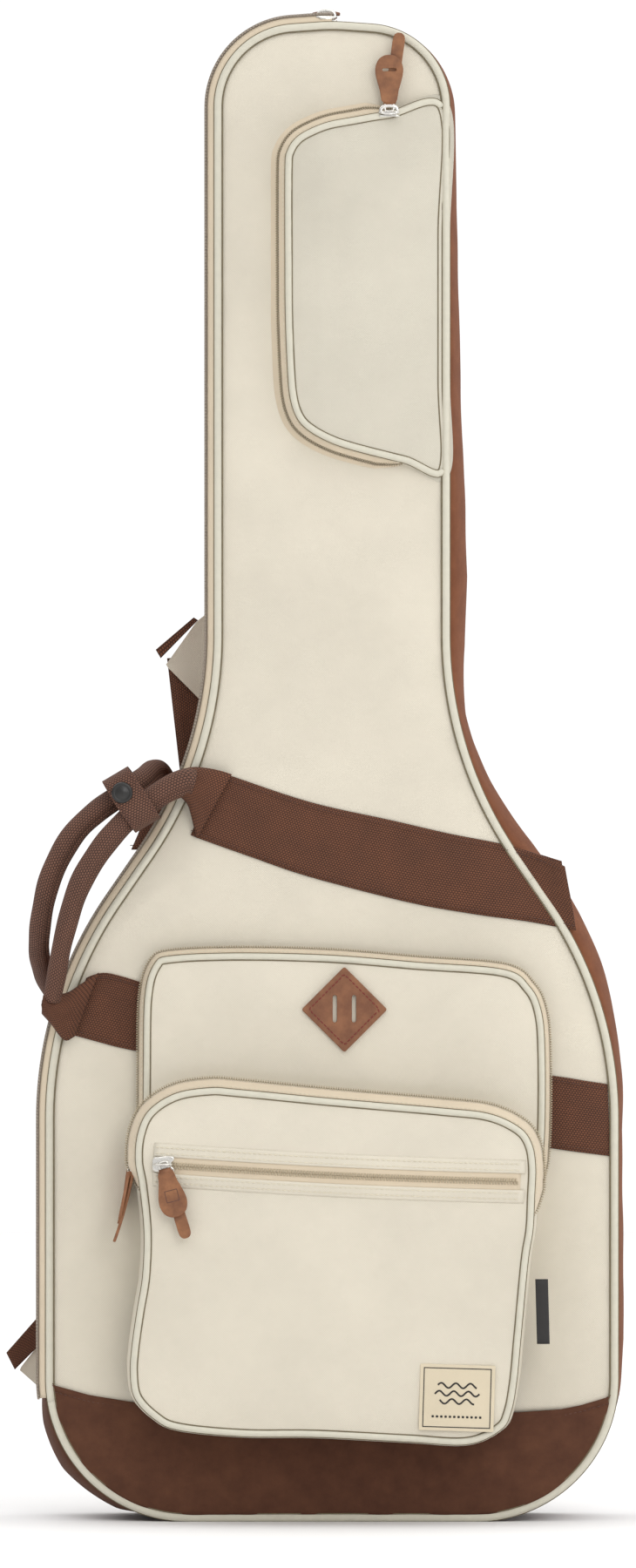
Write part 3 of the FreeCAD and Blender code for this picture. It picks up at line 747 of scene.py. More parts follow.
lid_run = np.arange(first_lid, last_lid + 1)
shell_run = np.concatenate([np.arange(last_lid, len(OUTLINE)), np.arange(0, first_lid + 1)])
# Painted seam shade: dark tubes inside and outside the front piping, and inside the back piping.
for run, body in ((lid_run, "lid"), (shell_run, "shell")):
    seam_line(f"seam_inner_{body}", OUTLINE, 2 * PIPE + 0.1 * MM, FRONT_Y + 1.5 * MM, run, body)
    seam_line(f"seam_outer_{body}", OUTLINE, -0.1 * MM, FRONT_Y + 3.2 * MM, run, body, 0.45 * MM)
seam_line("seam_back", OUTLINE, 2 * PIPE + 0.1 * MM, HALF_DEPTH - 1.5 * MM, np.arange(len(OUTLINE)), "shell")


# ------------------------------------------------------------------ gusset, main zipper
def side_strip(name, stretch, rows, material, thickness):
    """A strip round the shell's edge; rows are (how far out of the outline, y) per cross step, each a
    number or an array along the stretch."""
    outline = OUTLINE[stretch]
    normal = normals_2d(OUTLINE)[stretch]
    grid = []
    for out, y in rows:
        line = outline + normal * np.broadcast_to(out, len(outline))[:, None]
        grid.append(with_y(line, y))
    grid = np.array(grid).transpose(1, 0, 2)
    facing = with_y(normal, 0.0)[:, None]
    return cloth(name, grid, material, thickness, towards=facing)


def heights(table):
    """A curve over height from (z, value) pairs in millimetres."""
    table = np.array(sorted(table), float) * MM
    return lambda z: np.interp(z, table[:, 0], table[:, 1])


RIGHT_BULGE = heights([(0, 0), (20, 1), (77, 2), (126, 5), (175, 5), (273, 3.7), (321, 6), (346, 8),
                       (395, 11.6), (419, 13.4), (443, 14), (468, 13.4), (492, 11), (517, 8.5),
                       (545, 6.5), (565, 6), (590, 8.5), (614, 11), (663, 13), (712, 11.5), (761, 9),
                       (860, 6.5), (956, 5), (1030, 3), (1051, 2.5)])
LEFT_BULGE = heights([(0, 3), (10, 6), (41, 10.5), (70, 8), (95, 3), (150, 2), (1051, 1.5)])
indices = np.arange(len(OUTLINE))
right_high = indices[(indices <= top_index) & (OUTLINE[:, 1] >= BOOT_TOP)]
left_high = indices[(indices >= top_index) & (OUTLINE[:, 1] >= BOOT_TOP)]
base_part = np.concatenate([indices[(indices > top_index) & (OUTLINE[:, 1] <= BOOT_TOP + 3 * MM)],
                            indices[(indices < top_index) & (OUTLINE[:, 1] <= BOOT_TOP + 3 * MM)]])
SEAM_Y = FRONT_Y + 2 * PIPE - 1.5 * MM
CROSS = np.linspace(0, 1, 15)


def bulging(stretch, bulge, start_y, end_y, inset=1.5 * MM):
    amount = bulge(OUTLINE[stretch][:, 1])
    waves = 0.8 * MM * ripple(OUTLINE[stretch][:, 1], OUTLINE[stretch][:, 0], 0.04, 6.0)
    return [(amount * math.sin(math.pi * t) ** 0.55 + waves * math.sin(math.pi * t) - inset
             * (1 - math.sin(math.pi * t)), start_y + (end_y - start_y) * t) for t in CROSS]


low_right = right_high[OUTLINE[right_high][:, 1] <= 0.455]
high_right = right_high[OUTLINE[right_high][:, 1] >= 0.452]
gusset_low = side_strip("gusset_right_suede", low_right, bulging(low_right, RIGHT_BULGE, SEAM_Y, -SEAM_Y),
                        SUEDE, 3.5 * MM)
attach(gusset_low, "shell")
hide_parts("gusset_right")
gusset_high = side_strip("gusset_neck_suede", high_right,
                         bulging(high_right, RIGHT_BULGE, SEAM_Y, -SEAM_Y), SUEDE, 3.5 * MM)
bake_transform(gusset_high)
ZIP_MIDDLE = FRONT_Y + 7.6 * MM
gusset_left = side_strip("gusset_left_suede", left_high,
                         bulging(left_high, LEFT_BULGE, ZIP_MIDDLE + 5.5 * MM, -SEAM_Y), SUEDE, 3.5 * MM)
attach(gusset_left, "shell")
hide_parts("gusset_left")


def boot_side_bulge(stretch):
    line = OUTLINE[stretch]
    return np.where(line[:, 0] < 0, LEFT_BULGE(line[:, 1]), RIGHT_BULGE(line[:, 1])) * np.clip(
        line[:, 1] / (12 * MM), 0, 1)


base_rows = []
for t in CROSS:
    hump = math.sin(math.pi * t)
    base_rows.append((boot_side_bulge(base_part) * hump ** 0.55 - 1.5 * MM * (1 - hump),
                      SEAM_Y - 2 * SEAM_Y * t))
gusset_base = side_strip("gusset_base_suede", base_part, base_rows, BOOT, 3 * MM)
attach(gusset_base, "shell")
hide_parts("gusset_base")

TAPE_OUT = 5.4 * MM
zip_bend = np.linspace(0, 1, 6)
TAPE_THICKNESS = 0.7 * MM
FRONT_TAPE_START, FRONT_TAPE_END = SEAM_Y - 0.5 * MM, ZIP_MIDDLE - 0.4 * MM
front_rows = [(-1.0 * MM + (TAPE_OUT + 1.0 * MM) * t ** 0.8,
               FRONT_TAPE_START + (FRONT_TAPE_END - FRONT_TAPE_START) * t ** 1.6) for t in zip_bend]
front_tape = side_strip("main_zipper_front_tape", left_high, front_rows, TAPE, TAPE_THICKNESS)
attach(front_tape, "lid")
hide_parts("main_zipper_front")
rear_rows = [(0.4 * MM + (TAPE_OUT - 0.4 * MM) * (1 - t) ** 0.8,
              ZIP_MIDDLE + 0.4 * MM + 6 * MM * t) for t in zip_bend]
rear_tape = side_strip("main_zipper_rear_tape", left_high, rear_rows, TAPE, TAPE_THICKNESS)
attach(rear_tape, "shell")
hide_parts("main_zipper_rear")

zip_line = shifted(OUTLINE, TAPE_OUT + 0.8 * MM)[left_high]
zip_normal = normals_2d(OUTLINE)[left_high]
zip_up = with_y(zip_normal, 0.0)
for y, body, name in ((ZIP_MIDDLE - 0.9 * MM, "lid", "main_coil_front"),
                      (ZIP_MIDDLE + 0.9 * MM, "shell", "main_coil_rear")):
    path = with_y(zip_line, y)
    teeth = coil(name, path, zip_up, COIL_GREY, pitch=2.3 * MM, reach=1.5 * MM, tall=1.6 * MM)
    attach(teeth, body)


# ------------------------------------------------------------------ pockets
POCKETS = {
    "rear_pocket": {
        "edge": [(-108, 87), (-20, 84.5), (60, 84), (100, 86), (115, 94), (121, 110), (130, 150),
                 (138, 195), (145, 235), (148.3, 275), (148.5, 330), (146, 358), (138, 375), (120, 387),
                 (60, 392), (-2, 397), (-65, 398.5), (-112, 396.6), (-124, 391), (-130.5, 369),
                 (-131.6, 320), (-131.6, 250), (-131, 180), (-131, 115), (-126, 95)],
        "centre": (5, 240), "front": -63.8, "back": -46, "flare": 3.6, "crown": 3.5},
    "front_pocket": {
        "edge": [(-124, 76), (-107, 68), (-62, 63.5), (-11, 63), (52, 59.8), (94, 58), (117, 68),
                 (124, 80), (128, 101), (131, 132), (136, 185), (139.4, 207), (140.5, 230),
                 (141.2, 250.7), (138.5, 266.8), (130, 278), (109, 287.5), (75, 291.5), (0, 298),
                 (-65, 304.3), (-85, 305.5), (-109, 301.5), (-127, 290), (-134.8, 274), (-136.5, 255),
                 (-133.5, 237), (-130.5, 206), (-131.5, 175), (-135.5, 150), (-139, 125), (-140, 107),
                 (-137, 90)],
        "centre": (0, 172), "front": -101.5, "back": -65, "flare": 4.5, "crown": 2.4, "droop": 1.4},
    "neck_pocket": {
        "edge": [(79, 735), (79, 800), (79, 900), (79, 991), (39, 986.9), (14.6, 982.6), (-2.9, 979.1),
                 (-16.9, 973.5), (-25.7, 967.6), (-31.2, 958.8), (-32.7, 946), (-32.7, 878),
                 (-32.4, 843), (-31, 808), (-29.2, 787), (-24.7, 773), (-16.9, 764.2), (-2.9, 756.2),
                 (14.6, 750.2), (49.7, 741.5)],
        "centre": (32, 865), "front": -62, "back": -45, "flare": 5.0, "crown": 2.5,
        "welt": ((76, 991), (76, 736))}}
WELT = 2.35 * MM


def pocket_edge(spec, step=3 * MM):
    """The pocket's outer edge, smooth and counter-clockwise, starting low in the middle."""
    return smooth_path(in_mm(spec["edge"]), step, closed=True)


def wedge(spec, x):
    """How far the pocket stands out at x, as a share: the neck pocket is flush at its right side."""
    if spec is not POCKETS["neck_pocket"]:
        return np.ones_like(x)
    return np.clip((77 * MM - x) / (85 * MM), 0.0, 1.0) ** 0.65


def depth_at(spec, x, z, share):
    """Y on a pocket's side: share 0 is the panel under it and 1 is the pocket's face."""
    back = spec["back"] * MM
    return back + (spec["front"] * MM - back) * share * wedge(spec, x)


def make_pocket(name, spec, seed):
    edge = pocket_edge(spec)
    rim = shifted(edge, -WELT)

    def face(x, z):
        d = edge_distance(x, z, rim)
        swell = spec["crown"] * MM * (1 - np.exp(-d / (14 * MM))) * (0.35 + 0.65 * wedge(spec, x))
        calm = np.exp(-d / (20 * MM))
        waves = 0.8 * MM * ripple(x, z, 0.06, seed) * (1 - calm) + 0.5 * MM * calm * ripple(x, z, 0.011, seed)
        droop = spec.get("droop", 0) * MM * np.exp(-(z - rim[:, 1].min()) / (55 * MM)) * (1 - calm)
        return depth_at(spec, x, z, 1.0) - swell - waves - droop

    # The neck pocket takes the darker copy of the canvas, whose colour holds painted shade.
    canvas = SHADED_NECK_CANVAS if name == "neck_pocket" else CANVAS
    cloth_face = disc(f"{name}_face", rim, face, canvas, in_mm(spec["centre"]), 2.2 * MM, rings=34)
    line = rim[stretch_of(edge, *spec["welt"])] if "welt" in spec else rim
    welt_path = with_y(line, depth_at(spec, line[:, 0], line[:, 1], 1.0) + 0.2 * MM)
    welt = tube(f"{name}_welt", welt_path, WELT, PIPING, 12, closed="welt" not in spec)
    flare = spec["flare"] * MM
    rows = []
    for t in np.linspace(0, 1, 9):
        line = shifted(edge, flare * t ** 1.3 - 1.4 * MM + 0.35 * MM * math.sin(t * 9 + seed))
        y = depth_at(spec, line[:, 0], line[:, 1], 1.0) + 1.2 * MM
        y = y + (spec["back"] * MM + 1.0 * MM - y) * t
        rows.append(with_y(line, y))
    grid = np.array(rows).transpose(1, 0, 2)
    normal = normals_2d(edge)
    facing = with_y(normal, -0.2)[:, None]
    side = cloth(f"{name}_side", grid, canvas, 1.6 * MM, loop=True, towards=facing)
    stand_in = joined(f"{name}_cloth", [cloth_face, side])
    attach(stand_in, "lid")
    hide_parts(name)
    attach(welt, "lid")
    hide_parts(f"{name}_piping")
    lines = []
    # Painted seam shade: dark tubes inside the welt and along the pocket's outer edge.
    for inset, radius in ((2 * WELT + 0.1 * MM, 0.5 * MM), (-0.1 * MM, 0.45 * MM)):
        line = shifted(edge, -inset)
        if inset > 0:
            y = face(line[:, 0], line[:, 1]) - 0.1 * MM
        else:
            y = depth_at(spec, line[:, 0], line[:, 1], 1.0) + 0.6 * MM
        lines.append(tube("seam", with_y(line, y), radius, SEAM_SHADE, 6, closed=True))
    seams = joined(f"{name}_seams", lines)
    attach(seams, "lid")
    return edge, face


def stretch_of(edge, first, last):
    """The run of an outline from the point nearest first to the point nearest last, anticlockwise."""
    a = int(np.argmin(((edge - np.array(first) * MM) ** 2).sum(axis=1)))
    b = int(np.argmin(((edge - np.array(last) * MM) ** 2).sum(axis=1)))
    if b <= a:
        b += len(edge)
    return np.take(np.arange(len(edge)), range(a, b + 1), mode="wrap")


def pocket_zipper(name, spec, edge, first, last, widths=(0.3, 5.6, 7.4), share=(0.9, 0.62, 0.5), rear=0):
    """Tape and coil along part of a pocket's side: widths is how far out, in mm, the tape's inner edge,
    its outer edge and the coil's outer edge lie, and share how high on the side each is. rear, in mm,
    is how much of the second tape shows beyond the coil."""
    run = stretch_of(edge, first, last)
    normal = normals_2d(edge)[run]
    ends = np.minimum(np.arange(len(run)), np.arange(len(run))[::-1]) / 6
    ends = np.clip(ends, 0, 1)[:, None] ** 0.6
    out = np.array(widths) * MM
    facing = np.stack([normal[:, 0] * 0.5, np.full(len(run), -1.0), normal[:, 1] * 0.5], axis=1)

    def at(reach, level, lift):
        line = edge[run] + normal * reach * ends
        y = depth_at(spec, line[:, 0], line[:, 1], level) - lift
        return with_y(line, y)

    def strip(kind, reach, level):
        rows = [at(np.interp(t, [0, 1], reach), np.interp(t, [0, 1], level), 0.4 * MM)
                for t in np.linspace(0, 1, 7)]
        return cloth(f"{name}_{kind}", np.array(rows).transpose(1, 0, 2), TAPE, 0.7 * MM,
                     towards=facing[:, None])

    pieces = [strip("tape", out[:2], share[:2]),
              coil(f"{name}_coil", at((out[1] + out[2]) / 2, (share[1] + share[2]) / 2, 0.9 * MM), facing,
                   COIL, 1.7 * MM, out[2] - out[1], 1.3 * MM),
              stitches(f"{name}_stitch", at(out[0] + 1.1 * MM, share[0], 0.8 * MM), facing, THREAD, 3.2 * MM,
                       2.2 * MM, 0.22 * MM)]
    if rear:
        pieces.append(strip("rear_tape", (out[2], out[2] + rear * MM), (share[2], 0.06)))
    whole = joined(f"{name}_run", pieces)
    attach(whole, "lid")
    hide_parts(name)


rear_edge, rear_face = make_pocket("rear_pocket", POCKETS["rear_pocket"], 11.0)
front_edge, front_face = make_pocket("front_pocket", POCKETS["front_pocket"], 12.0)
neck_edge, neck_face = make_pocket("neck_pocket", POCKETS["neck_pocket"], 13.0)
pocket_zipper("rear_pocket_zipper", POCKETS["rear_pocket"], rear_edge, (145, 235), (-131.6, 240),
              (0.3, 3.4, 4.8), (0.85, 0.55, 0.4))
pocket_zipper("front_pocket_zipper", POCKETS["front_pocket"], front_edge, (140, 218), (-133, 234))
pocket_zipper("neck_pocket_zipper", POCKETS["neck_pocket"], neck_edge, (42, 987), (49, 741.5),
              (0.3, 4.6, 6.2), (0.85, 0.55, 0.4), 4.5)


# ------------------------------------------------------------------ slash zipper of the front pocket
SLASH_TURN = math.radians(2.7)
SLASH_LEFT = np.array([-121.0, 252.3]) * MM
SLASH_LENGTH = 252 * MM


def slash_point(along, across):
    """A point of the front pocket's face, in the slash zipper's own directions."""
    run = np.array([math.cos(SLASH_TURN), -math.sin(SLASH_TURN)])
    rise = np.array([math.sin(SLASH_TURN), math.cos(SLASH_TURN)])
    sag = -1.6 * MM * np.sin(math.pi * along / SLASH_LENGTH)
    return SLASH_LEFT + run * along + rise * (across + sag)


def on_face(points, face, lift):
    points = np.array(points)
    flat = points.reshape(-1, 2)
    y = face(flat[:, 0], flat[:, 1]) - lift
    return with_y(flat, y).reshape(*points.shape[:-1], 3)


def slash_row(across, start=0.0, end=SLASH_LENGTH, step=4 * MM):
    spots = np.linspace(start, end, int((end - start) / step) + 2)
    return np.array([slash_point(s, across) for s in spots])


SLASH_TAPE = ((-7.5, 0.5), (-5, 0.8), (-2.4, 0.9), (0, 0.9), (2.4, 0.9), (5, 0.8), (7.5, 0.5))
SLASH_LIP = ((0, 0.6), (0.3, 1.5), (1.0, 1.9), (2.2, 1.75), (4.6, 1.4), (8.0, 0.9), (9.5, 0.25))
LIP_START = 5.6 * MM
tape_rows = [on_face(slash_row(across * MM), front_face, lift * MM) for across, lift in SLASH_TAPE]
slash_tape = cloth("slash_tape", np.array(tape_rows).transpose(1, 0, 2), TAPE, 0.9 * MM, towards=(0, -1, 0))
slash_coil = coil("slash_coil", on_face(slash_row(0.0, 2 * MM, SLASH_LENGTH - 2 * MM), front_face, 1.5 * MM),
                  (0, -1, 0), COIL, 2.1 * MM, 2.4 * MM, 1.1 * MM)
lips = []
for across in (1, -1):
    rows = [on_face(slash_row(across * (LIP_START + add * MM), -3 * MM, SLASH_LENGTH + 3 * MM), front_face,
                    lift * MM) for add, lift in SLASH_LIP]
    lips.append(cloth("slash_lip", np.array(rows).transpose(1, 0, 2), CANVAS, 0.9 * MM, towards=(0, -1, 0)))
    for extra, lift in ((2.4, 1.9), (6.6, 1.35)):
        row = slash_row(across * (LIP_START + extra * MM), -1 * MM, SLASH_LENGTH + 1 * MM)
        line = on_face(row, front_face, lift * MM)
        lips.append(stitches("slash_stitch", line, (0, -1, 0), THREAD, 3.6 * MM, 2.6 * MM, 0.3 * MM))
slash = joined("slash_zipper_run", [slash_tape, slash_coil] + lips)
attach(slash, "lid")
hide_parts("slash_zipper")


# ------------------------------------------------------------------ webbing bands
def band_between(name, upper, lower, side, lift=1.6 * MM, across=13, step=4 * MM):
    """Webbing laid on a panel between an upper and a lower edge, each a list of (x, z) in mm."""
    top, low = smooth_path(in_mm(upper), step), smooth_path(in_mm(lower), step)
    count = max(len(top), len(low))
    top, low = (resample(line, lengths_along(line)[-1] / (count - 1)) for line in (top, low))
    count = min(len(top), len(low))
    top, low = top[:count], low[:count]
    rows = []
    for t in np.linspace(0, 1, across):
        line = low + (top - low) * t
        y = panel_y(line[:, 0], line[:, 1]) - lift * (0.75 + 0.25 * math.sin(math.pi * t))
        rows.append(with_y(line, y * (1 if side < 0 else -1)))
    grid = np.array(rows).transpose(1, 0, 2)
    width = np.linalg.norm(top - low, axis=1).mean()
    v = np.linspace(0, width, across)
    u = lengths_along(low)
    uv = np.stack([np.repeat(v[None], count, axis=0), np.repeat(u[:, None], across, axis=1)], axis=2)
    made = cloth(name, grid, WEBBING, 1.5 * MM, uv=uv, towards=(0, side, 0))
    return made, top, low


def edge_stitches(name, line, inset, side, lift=2.2 * MM, thread=BROWN_THREAD):
    normal = np.gradient(line, axis=0)
    normal = np.stack([-normal[:, 1], normal[:, 0]], axis=1)
    normal /= np.linalg.norm(normal, axis=1)[:, None]
    line = line + normal * inset
    y = (panel_y(line[:, 0], line[:, 1]) - lift) * (1 if side < 0 else -1)
    return stitches(name, with_y(line, y), (0, side, 0), thread, 3.4 * MM,
                    2.4 * MM, 0.3 * MM)


def webbing(name, upper, lower, side, body, replaced=()):
    made, top, low = band_between(f"{name}_cloth", upper, lower, side)
    threads = [edge_stitches(f"{name}_thread_{k}", line, inset, side)
               for k, (line, inset) in enumerate(((top, -3.2 * MM), (low, 3.2 * MM)))]
    whole = joined(f"{name}_band", [made] + threads)
    if body == "fold":
        across_fold(whole)
    else:
        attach(whole, body)
    for node in replaced:
        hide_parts(node)
    return whole


webbing("upper_front",
        [(-80, 525), (-71, 522.5), (-15, 504), (43, 491), (82, 482), (120, 474.5), (146, 466.5), (163, 459)],
        [(-99, 481), (-93, 478.5), (-55, 465), (-15, 451.5), (53, 434), (100, 425.5), (140, 420), (171, 414)],
        -1, "fold", ["front_webbing_upper"])
webbing("lower_front_left", [(-172, 381), (-166, 383.5), (-158, 384.5), (-145, 381.5), (-131, 377)],
        [(-186, 342), (-180, 340.5), (-165, 336.5), (-150, 332.5), (-131, 328.5)], -1, "lid")
webbing("lower_front_right", [(148, 313.5), (165, 311), (180, 308.5), (193, 306.5)],
        [(148, 262.5), (165, 260), (180, 258), (195, 256)], -1, "fold",
        ["front_webbing_lower", "front_webbing_lower_end"])
webbing("upper_back", [(-124, 512), (-60, 515), (24, 501), (90, 484), (163, 462)],
        [(-142, 470), (-60, 470), (24, 450), (90, 432), (168, 418)], 1, "shell", ["back_webbing_upper"])
webbing("lower_back", [(-190, 372), (-100, 370), (0, 349), (100, 327), (192, 306)],
        [(-195, 330), (-100, 319), (0, 298), (100, 276), (196, 256)], 1, "shell", ["back_webbing_lower"])


# ------------------------------------------------------------------ carry handles and wrap
def rolled_handle(name, path, radii, body, node):
    """A handle of webbing rolled round a core; radii are its radius in mm at even steps along it."""
    line = smooth_path(in_mm(path), 2.5 * MM)
    count = len(line)
    along = lengths_along(line)[:count]
    radius = np.interp(along / along[-1], np.linspace(0, 1, len(radii)), np.array(radii) * MM)
    tangent = np.gradient(line, axis=0)
    tangent /= np.linalg.norm(tangent, axis=1)[:, None]
    front = np.array([0.12, -1.0, 0.1])
    sides = 28
    verts, uv = [], []
    for k in range(count):
        out = front - tangent[k] * (front @ tangent[k])
        if np.linalg.norm(out) > 0.2:
            kept = out / np.linalg.norm(out)
        out = kept - tangent[k] * (kept @ tangent[k])
        out /= np.linalg.norm(out)
        across = np.cross(tangent[k], out)
        wave = 1 + 0.02 * math.sin(along[k] * 190) + 0.02 * math.sin(along[k] * 71 + 1)
        for a in np.arange(sides) * 2 * math.pi / sides:
            groove = 1 - 0.17 * math.exp(-((a - 2.25) / 0.2) ** 2)
            size = radius[k] * wave * groove
            verts.append(line[k] + size * (math.cos(a) * across + math.sin(a) * out))
            uv.append((a * radius.mean(), along[k]))
    made = outward(new_mesh(name, verts, ring_faces(count, sides), uv, ROLLED))
    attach(made, body)
    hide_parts(node)
    return made


FRONT_HANDLE = [(-97, -57, 517.5), (-103, -58, 518), (-116.5, -60, 512), (-132, -62, 501),
                (-147, -64, 488), (-163.5, -65, 468), (-177.5, -65, 443), (-187.5, -63, 409),
                (-193, -60, 380), (-196, -57, 365)]
FRONT_RADII = (9.2, 8.8, 8.2, 8.0, 7.6, 6.8, 6.4)
REAR_HANDLE = [(-108, 53, 506), (-116, 48, 517), (-122, 24, 525), (-126, -4, 525.5), (-133, -32, 519.5),
               (-147, -47, 509.5), (-165, -50, 497), (-182, -49, 480), (-196, -45, 454), (-203, -37, 428),
               (-206, -18, 404), (-205, 6, 388), (-202, 32, 376), (-195, 50, 364)]
REAR_RADII = (7, 8.2, 8.4, 8.2, 8.0, 7.6, 6.8, 6.2)
rolled_handle("front_handle_roll", FRONT_HANDLE, FRONT_RADII, "front_handle", "front_handle")
rolled_handle("rear_handle_roll", REAR_HANDLE, REAR_RADII, "rear_handle", "rear_handle")


def gather(name, upper, lower, start_y, end_y, bulge, body):
    """The end of a band drawn together into its handle: a sheet that rises and narrows."""
    top, low = smooth_path(in_mm(upper), 1.5 * MM), smooth_path(in_mm(lower), 1.5 * MM)
    count = 26
    top, low = (resample(line, lengths_along(line)[-1] / (count - 1))[:count] for line in (top, low))
    count = min(len(top), len(low))
    share = np.linspace(0, 1, count)
    rows, across = [], np.linspace(0, 1, 19)
    for t in across:
        line = low[:count] + (top[:count] - low[:count]) * t
        arch = math.sin(math.pi * t) ** 0.6
        tuck = 1.3 * math.exp(-((t - 0.36) / 0.07) ** 2) * (1 - share)
        tuck = tuck + 0.9 * math.exp(-((t - 0.7) / 0.06) ** 2) * share
        height = arch * (bulge[0] + (bulge[1] - bulge[0]) * share)
        y = start_y + (end_y - start_y) * share ** 0.9 - height + tuck
        rows.append(with_y(line, y * MM))
    grid = np.array(rows).transpose(1, 0, 2)
    uv = np.stack([np.repeat(across[None] * 46 * MM, count, axis=0),
                   np.repeat(lengths_along(low[:count])[:, None], len(across), axis=1)], axis=2)
    made = cloth(name, grid, WEBBING, 1.8 * MM, uv=uv, towards=(0, -1, 0))
    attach(made, body)
    return made


gather("upper_band_gather", [(-70, 523.5), (-78, 526), (-88, 528), (-98, 528.6), (-108, 526)],
       [(-94.5, 478.5), (-97, 488), (-99, 496), (-101.5, 503), (-107, 508.5)],
       -51.0, -57.5, (1.6, 10.0), "lid")
gather("lower_band_gather", [(-163, 385), (-174, 378), (-185, 371), (-194, 370), (-202, 369)],
       [(-180, 340), (-186, 337), (-191, 341), (-196, 348), (-203, 356)], -50.0, -57.5, (1.6, 7.5), "lid")

WRAP_MIDDLE = np.array([-140.2, -47, 505.8]) * MM
WRAP_ACROSS = np.array([0.547, 0, -0.838])
WRAP_ALONG = np.array([-0.86, 0, -0.51])
WRAP_HALF, WRAP_DEEP, WRAP_WIDE = 21.5 * MM, 27.5 * MM, 11.2 * MM


def wrap_ring(power=0.42):
    """A loop round both handles: a rounded box in the wrap's across direction and Y."""
    spots = []
    for a in np.linspace(0, 2 * math.pi, 64, endpoint=False):
        c, s = math.cos(a), math.sin(a)
        x = WRAP_HALF * math.copysign(abs(c) ** power, c)
        y = WRAP_DEEP * math.copysign(abs(s) ** power, s)
        spots.append((x, y))
    return spots


widths = np.array([-1, -0.94, -0.8, -0.5, 0, 0.5, 0.8, 0.94, 1]) * WRAP_WIDE


def wrap_spot(x, y, w):
    """A point of the wrap: x and y on its loop, w along its width, its edges turned out a little."""
    narrowing = 1 - 0.08 * abs(x) / WRAP_HALF
    turned_out = 0.5 * MM * (abs(w) / WRAP_WIDE) ** 6 * (1 if y < 0 else -1)
    return WRAP_MIDDLE + WRAP_ACROSS * x + WRAP_ALONG * w * narrowing + np.array([0, y + turned_out, 0])


grid = np.array([[wrap_spot(x, y, w) for w in widths] for x, y in wrap_ring()])
wrap = cloth("handle_wrap_band", grid, ROLLED, 2.0 * MM, loop=True, towards=grid - WRAP_MIDDLE)
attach(wrap, "front_handle")
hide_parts("handle_wrap")
wrap_threads = []
for w in (-0.8, 0.8):
    start = WRAP_MIDDLE + WRAP_ALONG * w * WRAP_WIDE + np.array([0, -WRAP_DEEP - 0.3 * MM, 0])
    line = np.array([start + WRAP_ACROSS * x for x in np.linspace(-0.85, 0.85, 24) * WRAP_HALF])
    wrap_threads.append(stitches("wrap_thread", line, (0, -1, 0), BROWN_THREAD, 3.2 * MM, 2.3 * MM, 0.3 * MM))
wrap_stitching = joined("handle_wrap_stitching", wrap_threads)
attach(wrap_stitching, "front_handle")


def lathe(name, profile, centre, axis, material, sides=32):
    """A solid of revolution: profile is (radius, height) in mm along the axis from the centre."""
    axis = np.array(axis, float)
    axis /= np.linalg.norm(axis)
    side = np.cross(axis, [0.3, 0.2, 1.0])
    side /= np.linalg.norm(side)
    other = np.cross(axis, side)
    verts = []
    for r, h in profile:
        middle = np.array(centre) + axis * h * MM
        for a in np.arange(sides) * 2 * math.pi / sides:
            verts.append(middle + max(r, 0.01) * MM * (math.cos(a) * side + math.sin(a) * other))
    return outward(new_mesh(name, verts, ring_faces(len(profile), sides), None, material))


snap = lathe("snap_cap_dome", [(6.2, 0), (7.2, 0.2), (7.4, 0.9), (6.9, 1.5), (5.9, 1.75), (5.4, 1.5),
                               (4.6, 1.55), (3.2, 2.0), (1.6, 2.3), (0.4, 2.35)],
             (-146.4 * MM, WRAP_MIDDLE[1] - WRAP_DEEP - 0.3 * MM, 510.6 * MM), (0, -1, 0), PLASTIC)
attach(snap, "front_handle")
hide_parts("snap_cap")


# ------------------------------------------------------------------ trim: tab, label, side tag
def flat_shape(name, outline, y, thickness, material, holes=(), round_over=0.35 * MM):
    """A plate cut to an outline (x, z) with holes, its front edge slightly eased; it faces -Y at y."""
    curve = bpy.data.curves.new(name, "CURVE")
    curve.dimensions = "2D"
    curve.fill_mode = "BOTH"
    curve.extrude = thickness / 2 - round_over
    curve.bevel_depth = round_over
    curve.bevel_resolution = 2
    for points in [outline, *holes]:
        spline = curve.splines.new("POLY")
        spline.points.add(len(points) - 1)
        for spot, (x, z) in zip(spline.points, points):
            spot.co = (x, z, 0, 1)
        spline.use_cyclic_u = True
    curve.offset = -round_over
    holder = bpy.data.objects.new(name, curve)
    bpy.context.scene.collection.objects.link(holder)
    bpy.context.view_layer.update()
    depsgraph = bpy.context.evaluated_depsgraph_get()
    mesh = bpy.data.meshes.new_from_object(holder.evaluated_get(depsgraph))
    bpy.data.objects.remove(holder)
    verts = np.empty(len(mesh.vertices) * 3)
    mesh.vertices.foreach_get("co", verts)
    verts = verts.reshape(-1, 3)
    placed = with_y(verts, y + thickness / 2 - verts[:, 2])
    mesh.vertices.foreach_set("co", placed.ravel())
    bm = bmesh.new()
    bm.from_mesh(mesh)
    bmesh.ops.remove_doubles(bm, verts=bm.verts, dist=1e-6)
    bmesh.ops.recalc_face_normals(bm, faces=bm.faces)
    layer = bm.loops.layers.uv.verify()
    for face in bm.faces:
        face.smooth = False
        for loop in face.loops:
            loop[layer].uv = (loop.vert.co.x, loop.vert.co.z)
    bm.to_mesh(mesh)
    bm.free()
    mesh.materials.clear()
    mesh.materials.append(material)
    made = bpy.data.objects.new(name, mesh)
    bpy.context.scene.collection.objects.link(made)
    return made


def rounded_box(centre, half_x, half_z, radius, turn=0.0, steps=6):
    """An outline with rounded corners, turned about its centre by turn radians."""
    points = []
    for corner in range(4):
        sx, sz = (1, 1, -1, -1)[corner], (-1, 1, 1, -1)[corner]
        start = (-math.pi / 2, 0, math.pi / 2, math.pi)[corner]
        for k in range(steps + 1):
            a = start + math.pi / 2 * k / steps
            points.append((sx * (half_x - radius) + radius * math.cos(a),
                           sz * (half_z - radius) + radius * math.sin(a)))
    points = np.array(points)
    c, s = math.cos(turn), math.sin(turn)
    return points @ np.array([[c, s], [-s, c]]) + np.asarray(centre)


